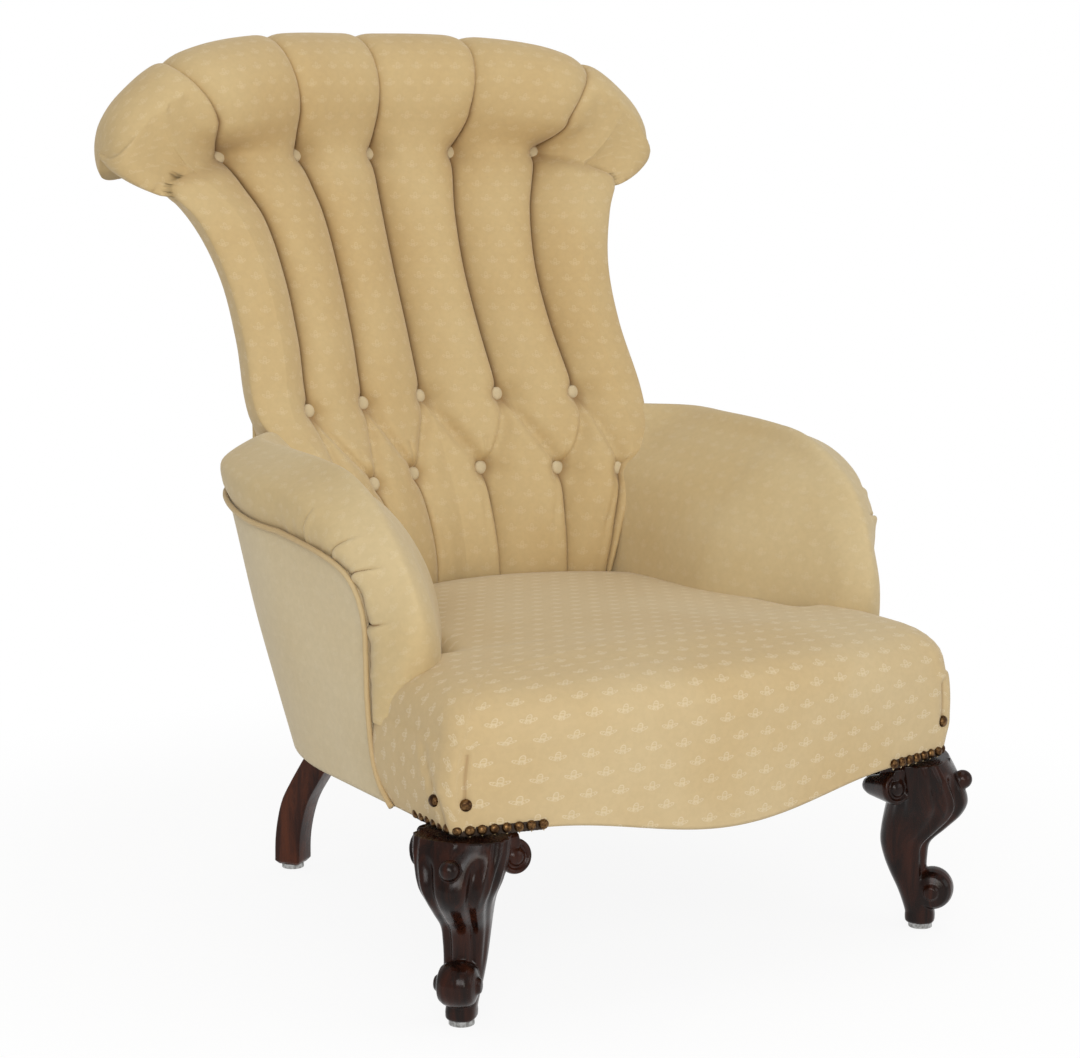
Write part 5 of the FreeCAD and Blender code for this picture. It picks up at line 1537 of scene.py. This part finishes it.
def make_front_leg():
    profile = list(SCROLL_EYE) + [(-rise, radius) for rise, radius in reversed(SCROLL_EYE)]
    diagonal = [leg_body(), leg_toe(), turned_form(profile, (0.0115, 0, 0.0410), (0, 1, 0), 44),
                turned_form([(0.010 * math.sin(t), 0.0098 * math.cos(t)) for t in np.linspace(-1.2, 1.5, 10)],
                            (0.0385, 0, 0.1560), (0.86, 0, 0.5), 24)]
    turn = math.radians(-45)
    spin = np.array([[math.cos(turn), -math.sin(turn), 0], [math.sin(turn), math.cos(turn), 0], [0, 0, 1]])
    forms = [np.array(rings) @ spin.T for rings in diagonal] + ear_forms(1) + ear_forms(-1)
    # The square shoulder under the rail
    forms.append([[(x * LEG_SHOULDER, y * LEG_SHOULDER, z) for x, y in BOX_CORNERS] for z in (0.150, 0.1776)])
    forms = [np.array(rings) + [FRONT_LEG_PLACE[0], FRONT_LEG_PLACE[1], 0] for rings in forms]
    rough = join_rings("leg_rough", forms, None)
    carved = carve(rough, "front_leg_carved_right", CARVING_STEP, CARVING_ROUNDS, mahogany)
    bpy.data.objects.remove(rough)
    return carved


def carve(piece, name, voxel, smoothing, material):
    # One closed skin round overlapping forms, with its steps smoothed away
    remesh = piece.modifiers.new("skin", "REMESH")
    remesh.mode, remesh.voxel_size = "VOXEL", voxel
    smooth = piece.modifiers.new("smooth", "SMOOTH")
    smooth.factor, smooth.iterations = 0.5, smoothing
    seen = piece.evaluated_get(bpy.context.evaluated_depsgraph_get())
    mesh = bpy.data.meshes.new_from_object(seen)
    mesh.materials.clear()
    mesh.polygons.foreach_set("use_smooth", [True] * len(mesh.polygons))
    return link(name, mesh, material)


dress_pair(make_front_leg(), "mahogany", "front_leg")


# Rear legs: plain and square, swept back below the seat and running up inside the back

# The upright inside the back: height and distance from the middle
UPRIGHT_SHARES = ((0.340, 0.470), (0.440, 0.530), (0.556, 0.545), (0.640, 0.535), (0.720, 0.540),
                  (0.790, 0.555), (0.845, 0.570))
UPRIGHT_WIDTH, UPRIGHT_THICKNESS, UPRIGHT_INSET = 0.034, 0.018, 0.0135


def make_rear_leg():
    foot = np.array([REAR_LEG_PLACE[0], REAR_LEG_PLACE[1], 0.0])
    inward = np.array([-math.sin(REAR_LEG_TURN), -math.cos(REAR_LEG_TURN), 0.0])
    toe = REAR_LEG_SIZE * 0.80
    rings = [soft_square(foot + [0, 0, GLIDE_TOP], toe, toe, -REAR_LEG_TURN)]
    for share in np.linspace(SABRE_SHARES[0][0], SABRE_SHARES[-1][0], 40):
        sweep, size = curve(SABRE_SHARES, share, 1), curve(SABRE_SHARES, share, 2)
        rise = max(share * HEIGHT, GLIDE_TOP + 0.0036)
        place = foot + inward * (REAR_LEG_RAKE * sweep) + [0, 0, rise]
        rings.append(soft_square(place, REAR_LEG_SIZE * size, REAR_LEG_SIZE * size, -REAR_LEG_TURN))
    for share in np.linspace(UPRIGHT_SHARES[0][0], UPRIGHT_SHARES[-1][0], 16):
        z = share * HEIGHT
        across = curve(UPRIGHT_SHARES, share, 1) * HALF_WIDTH
        near, far = [back_arc_y(across + side * UPRIGHT_WIDTH / 2, z, UPRIGHT_INSET) for side in (-1, 1)]
        turn = math.atan2(far - near, UPRIGHT_WIDTH)
        middle = np.array([across, (near + far) / 2, z])
        rings.append(soft_square(middle, UPRIGHT_WIDTH, UPRIGHT_THICKNESS, turn))
    return ring_solid("rear_leg_swept_right", rings, None, rear_mahogany)


dress_pair(make_rear_leg(), "mahogany", "rear_leg")


# Dome nails and the narrow braid under them, along the lower edge over each front leg

# How far the braid runs back along the side
SIDE_BRAID = 0.058


def apron_edge_path():
    # From the side round the corner to the front, in plan
    inset = SEAT_FRONT_BULGE - 0.0002
    side, corner_y = HALF_SEAT - inset, FRONT_Y + SEAT_BOW + inset
    corner = APRON_CORNER
    off = corner * (1 - math.sqrt(0.5))
    path = line((side, corner_y + corner + SIDE_BRAID), (side, corner_y + corner), 8)
    path += arc((side, corner_y + corner), (side - off, corner_y + off), (side - corner, corner_y), 8)
    bow = arc((side - corner, corner_y), (0, FRONT_Y + inset), (corner - side, corner_y), 400)
    run = 0.0
    for a, b in zip(bow, bow[1:]):
        if run > LEG_FLAT - corner:
            break
        path.append(a)
        run += np.linalg.norm(b - a)
    return np.array([(x, y, apron_bottom(x) if y < corner_y + corner else APRON_CORNER_HEIGHT)
                     for x, y in path])


def row_tree():
    # Sets one small head after another along a path, each facing away from the chair
    tree = bpy.data.node_groups.new("row_along_edge", "GeometryNodeTree")
    for label, kind in (("Path", "Geometry"), ("Head", "Object"), ("Pitch", "Float"), ("Size", "Float"),
                        ("Finish", "Material")):
        tree.interface.new_socket(name=label, in_out="INPUT", socket_type="NodeSocket" + kind)
    tree.interface.new_socket(name="Row", in_out="OUTPUT", socket_type="NodeSocketGeometry")
    add, join = tree.nodes.new, tree.links.new
    given, out = add("NodeGroupInput"), add("NodeGroupOutput")
    to_curve, to_points = add("GeometryNodeMeshToCurve"), add("GeometryNodeCurveToPoints")
    to_points.mode = "LENGTH"
    head, instances = add("GeometryNodeObjectInfo"), add("GeometryNodeInstanceOnPoints")
    cross, facing = add("ShaderNodeVectorMath"), add("FunctionNodeAlignRotationToVector")
    realize, finish = add("GeometryNodeRealizeInstances"), add("GeometryNodeSetMaterial")
    cross.operation = "CROSS_PRODUCT"
    cross.inputs[0].default_value = (0.0, 0.0, 1.0)
    facing.axis = "Z"
    join(given.outputs["Path"], to_curve.inputs[0])
    join(to_curve.outputs[0], to_points.inputs["Curve"])
    join(given.outputs["Pitch"], to_points.inputs["Length"])
    join(to_points.outputs["Tangent"], cross.inputs[1])
    join(cross.outputs[0], facing.inputs["Vector"])
    join(given.outputs["Head"], head.inputs["Object"])
    join(to_points.outputs["Points"], instances.inputs["Points"])
    join(head.outputs["Geometry"], instances.inputs["Instance"])
    join(facing.outputs[0], instances.inputs["Rotation"])
    join(given.outputs["Size"], instances.inputs["Scale"])
    join(instances.outputs[0], realize.inputs[0])
    join(realize.outputs[0], finish.inputs["Geometry"])
    join(given.outputs["Finish"], finish.inputs["Material"])
    join(finish.outputs[0], out.inputs[0])
    return tree


def row_along(name, path, head, material):
    mesh = bpy.data.meshes.new(name + "_path")
    mesh.from_pydata([tuple(p) for p in path], [(k, k + 1) for k in range(len(path) - 1)], [])
    holder = link(name + "_path", mesh, None)
    modifier = holder.modifiers.new("row", "NODES")
    modifier.node_group = tree_of_rows
    values = {"Head": head, "Pitch": NAIL_PITCH, "Size": 1.0, "Finish": material}
    for item in tree_of_rows.interface.items_tree:
        if item.in_out == "INPUT" and item.name in values:
            modifier[item.identifier] = values[item.name]
    seen = holder.evaluated_get(bpy.context.evaluated_depsgraph_get())
    result = bpy.data.meshes.new_from_object(seen)
    result.polygons.foreach_set("use_smooth", [True] * len(result.polygons))
    bpy.data.objects.remove(holder)
    result.materials.clear()
    return link(name, result, material)


NAIL_DIAMETER, NAIL_HEIGHT, NAIL_PITCH = 0.0096, 0.0038, 0.0112
# Places of the nails and of the cloth's points off the apron's edge, and the points' first place along it
NAIL_OUT, NAIL_RISE = 0.0016, 0.0036
TIP_OUT, TIP_RISE, TIP_START = 0.0010, 0.0012, 3


def nail_head(name, diameter, height):
    turns = np.linspace(0.0, math.pi / 2 - 0.05, 7)
    profile = [(-0.0012, diameter * 0.46), (-0.0004, diameter * 0.5)]
    profile += [(height * math.sin(t), diameter / 2 * math.cos(t) ** 0.85) for t in turns[1:]]
    return join_rings(name, [turned_form(profile, (0, 0, 0), (0, 0, 1), 16)], None)


def cloth_point():
    # A small turned-under point of the cover, seen between two nails
    points = ((-0.0026, 0.0, -0.0006), (0.0026, 0.0, -0.0006), (0.0, -0.0044, -0.0006),
              (-0.0022, 0.0002, 0.0009), (0.0022, 0.0002, 0.0009), (0.0, -0.0036, 0.0006))
    faces = ((0, 2, 1), (3, 4, 5), (0, 1, 4, 3), (1, 2, 5, 4), (2, 0, 3, 5))
    return make_mesh("cloth_point", points, faces)


tree_of_rows = row_tree()
head, cloth_tip = nail_head("nail_head", NAIL_DIAMETER, NAIL_HEIGHT), cloth_point()
edge_path = apron_edge_path()
out_ways = np.cross([0, 0, 1.0], np.gradient(edge_path * [1, 1, 0], axis=0))
out_ways /= np.linalg.norm(out_ways, axis=1)[:, None]
nails = row_along("leg_nail_row_right", edge_path + out_ways * NAIL_OUT + [0, 0, NAIL_RISE], head, brass)
tips = row_along("cover_points_right", (edge_path + out_ways * TIP_OUT + [0, 0, TIP_RISE])[TIP_START:],
                 cloth_tip, piping_cover)


# Across the braid: how far out and how high
BRAID_PROFILE = ((-0.0008, -0.0012), (0.0010, -0.0017), (0.0017, -0.0004), (0.0013, 0.0030), (0.0011, 0.0068),
                 (-0.0008, 0.0072))


def make_braid():
    # A narrow dark braid with a rolled lower edge behind the nails
    rings = []
    for k, (place, out_way) in enumerate(zip(edge_path, out_ways)):
        wave = 0.0004 * math.sin(k * 2.1)
        ring = []
        for across, rise in BRAID_PROFILE:
            ring.append(place + out_way * (across + (wave if across > 0 else 0)) + [0, 0, rise])
        rings.append(ring)
    return ring_solid("leg_braid_right", rings, None, braid_cloth)


braid = make_braid()
dress_pair(nails, "antique_brass", "leg_nails")
dress_pair(braid, "damask", "gimp")
dress_pair(tips, "damask")
bpy.data.objects.remove(head)
bpy.data.objects.remove(cloth_tip)

# The larger nails that hold the pleats of the front corners: place and the way they face
CORNER_NAILS = (((-0.2905, -0.350, 0.211), (-1.0, -0.1, 0.0)), ((-0.2735, -0.3785, 0.211), (-0.4, -1.0, 0.0)),
                ((0.2905, -0.350, 0.214), (1.0, -0.1, 0.0)), ((0.2745, -0.3782, 0.217), (0.4, -1.0, 0.0)))
CORNER_NAIL_RADIUS, CORNER_NAIL_HEIGHT = 0.0058, 0.0042


def make_corner_nails():
    profile = [(CORNER_NAIL_HEIGHT * math.sin(t), CORNER_NAIL_RADIUS * math.cos(t) ** 0.85)
               for t in np.linspace(-0.3, 1.5, 9)]
    forms = [turned_form(profile, place, way, 24) for place, way in CORNER_NAILS]
    return join_rings("corner_nails", forms, brass)


dress(make_corner_nails(), "antique_brass")


# Nodes of the frame that keep their own meshes
carried = {
    beech: ("front_seat_rail", "side_seat_rail_right", "side_seat_rail_left", "back_seat_rail",
            "corner_blocks", "back_top_rail"),
    hessian_cloth: ("seat_hessian", "back_hessian"),
    webbing_cloth: ("seat_webbing", "back_webbing"),
    bottom_black: ("bottom_cloth",),
    stuffing_cloth: ("seat_stuffing",),
    steel: ("front_glides", "rear_glides"),
}
for material, names in carried.items():
    for name in names:
        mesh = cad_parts[name].data
        mesh.materials.clear()
        mesh.materials.append(material)


# Stage: floor, soft lights and the camera

def make_floor():
    material, w, shader = new_material("studio_floor")
    shader.inputs["Roughness"].default_value = 0.9
    shader.inputs["Base Color"].default_value = (0.92, 0.92, 0.92, 1.0)
    tree = material.node_tree
    glow = tree.nodes.new("ShaderNodeEmission")
    path = tree.nodes.new("ShaderNodeLightPath")
    here = tree.nodes.new("ShaderNodeTexCoord").outputs["Object"]
    reach = w.node("VectorMath", 1, settings={"operation": "LENGTH"}, Vector=here)
    clear = w.step(reach, 0.45, 0.95, 0.90, 1.0)
    mixed = tree.nodes.new("ShaderNodeMixShader")
    rays = w.math("MAXIMUM", path.outputs["Is Camera Ray"], path.outputs["Is Glossy Ray"])
    w.feed(mixed.inputs[0], w.math("MULTIPLY", rays, clear))
    tree.links.new(shader.outputs[0], mixed.inputs[1])
    tree.links.new(glow.outputs[0], mixed.inputs[2])
    tree.links.new(mixed.outputs[0], tree.nodes["Material Output"].inputs["Surface"])
    mesh = bpy.data.meshes.new("floor")
    mesh.from_pydata([(-6, -6, 0), (6, -6, 0), (6, 6, 0), (-6, 6, 0)], [], [(0, 1, 2, 3)])
    floor = link("floor", mesh, material)


def make_world():
    world = bpy.data.worlds.new("studio")
    bpy.context.scene.world = world
    world.use_nodes = True
    w = Wires(world.node_tree)
    back = world.node_tree.nodes["Background"]
    path = world.node_tree.nodes.new("ShaderNodeLightPath")
    back.inputs["Color"].default_value = (1.0, 1.0, 1.0, 1.0)
    seen = w.math("MULTIPLY", path.outputs["Is Camera Ray"], 0.45)
    w.feed(back.inputs["Strength"], w.math("ADD", seen, 0.55))


def add_lamp(name, place, aim, size, power, tint=(1.0, 1.0, 1.0)):
    lamp = bpy.data.lights.new(name, "AREA")
    lamp.shape, lamp.size, lamp.energy, lamp.color = "SQUARE", size, power, tint
    holder = bpy.data.objects.new(name, lamp)
    bpy.context.scene.collection.objects.link(holder)
    holder.location = place
    holder.rotation_euler = (Vector(aim) - Vector(place)).to_track_quat("-Z", "Y").to_euler()


CAMERA_PLACE = (-1.379, -2.330, 0.850)
CAMERA_TURN, CAMERA_PITCH = math.radians(-31.22), math.radians(9.84)
CAMERA_LENS = 86.67


def make_camera():
    data = bpy.data.cameras.new("camera")
    data.lens, data.sensor_width = CAMERA_LENS, 36.0
    camera = bpy.data.objects.new("camera", data)
    bpy.context.scene.collection.objects.link(camera)
    camera.location = CAMERA_PLACE
    level = math.cos(CAMERA_PITCH)
    way = Vector((-math.sin(CAMERA_TURN) * level, math.cos(CAMERA_TURN) * level, -math.sin(CAMERA_PITCH)))
    camera.rotation_euler = way.to_track_quat("-Z", "Y").to_euler()
    bpy.context.scene.camera = camera


make_floor()
make_world()
make_camera()
add_lamp("key_light", (-2.1, -3.0, 1.9), (0, 0, 0.45), 1.6, 50)
add_lamp("fill_light", (2.2, -2.8, 1.4), (0, 0, 0.45), 2.0, 17)
add_lamp("top_light", (0.2, -0.2, 3.0), (0, 0, 0.5), 2.0, 14)
add_lamp("front_light", (-0.9, -3.0, 0.9), (0, 0.1, 0.48), 0.9, 12, (1.0, 0.94, 0.84))
bpy.context.scene.view_settings.view_transform = "Standard"
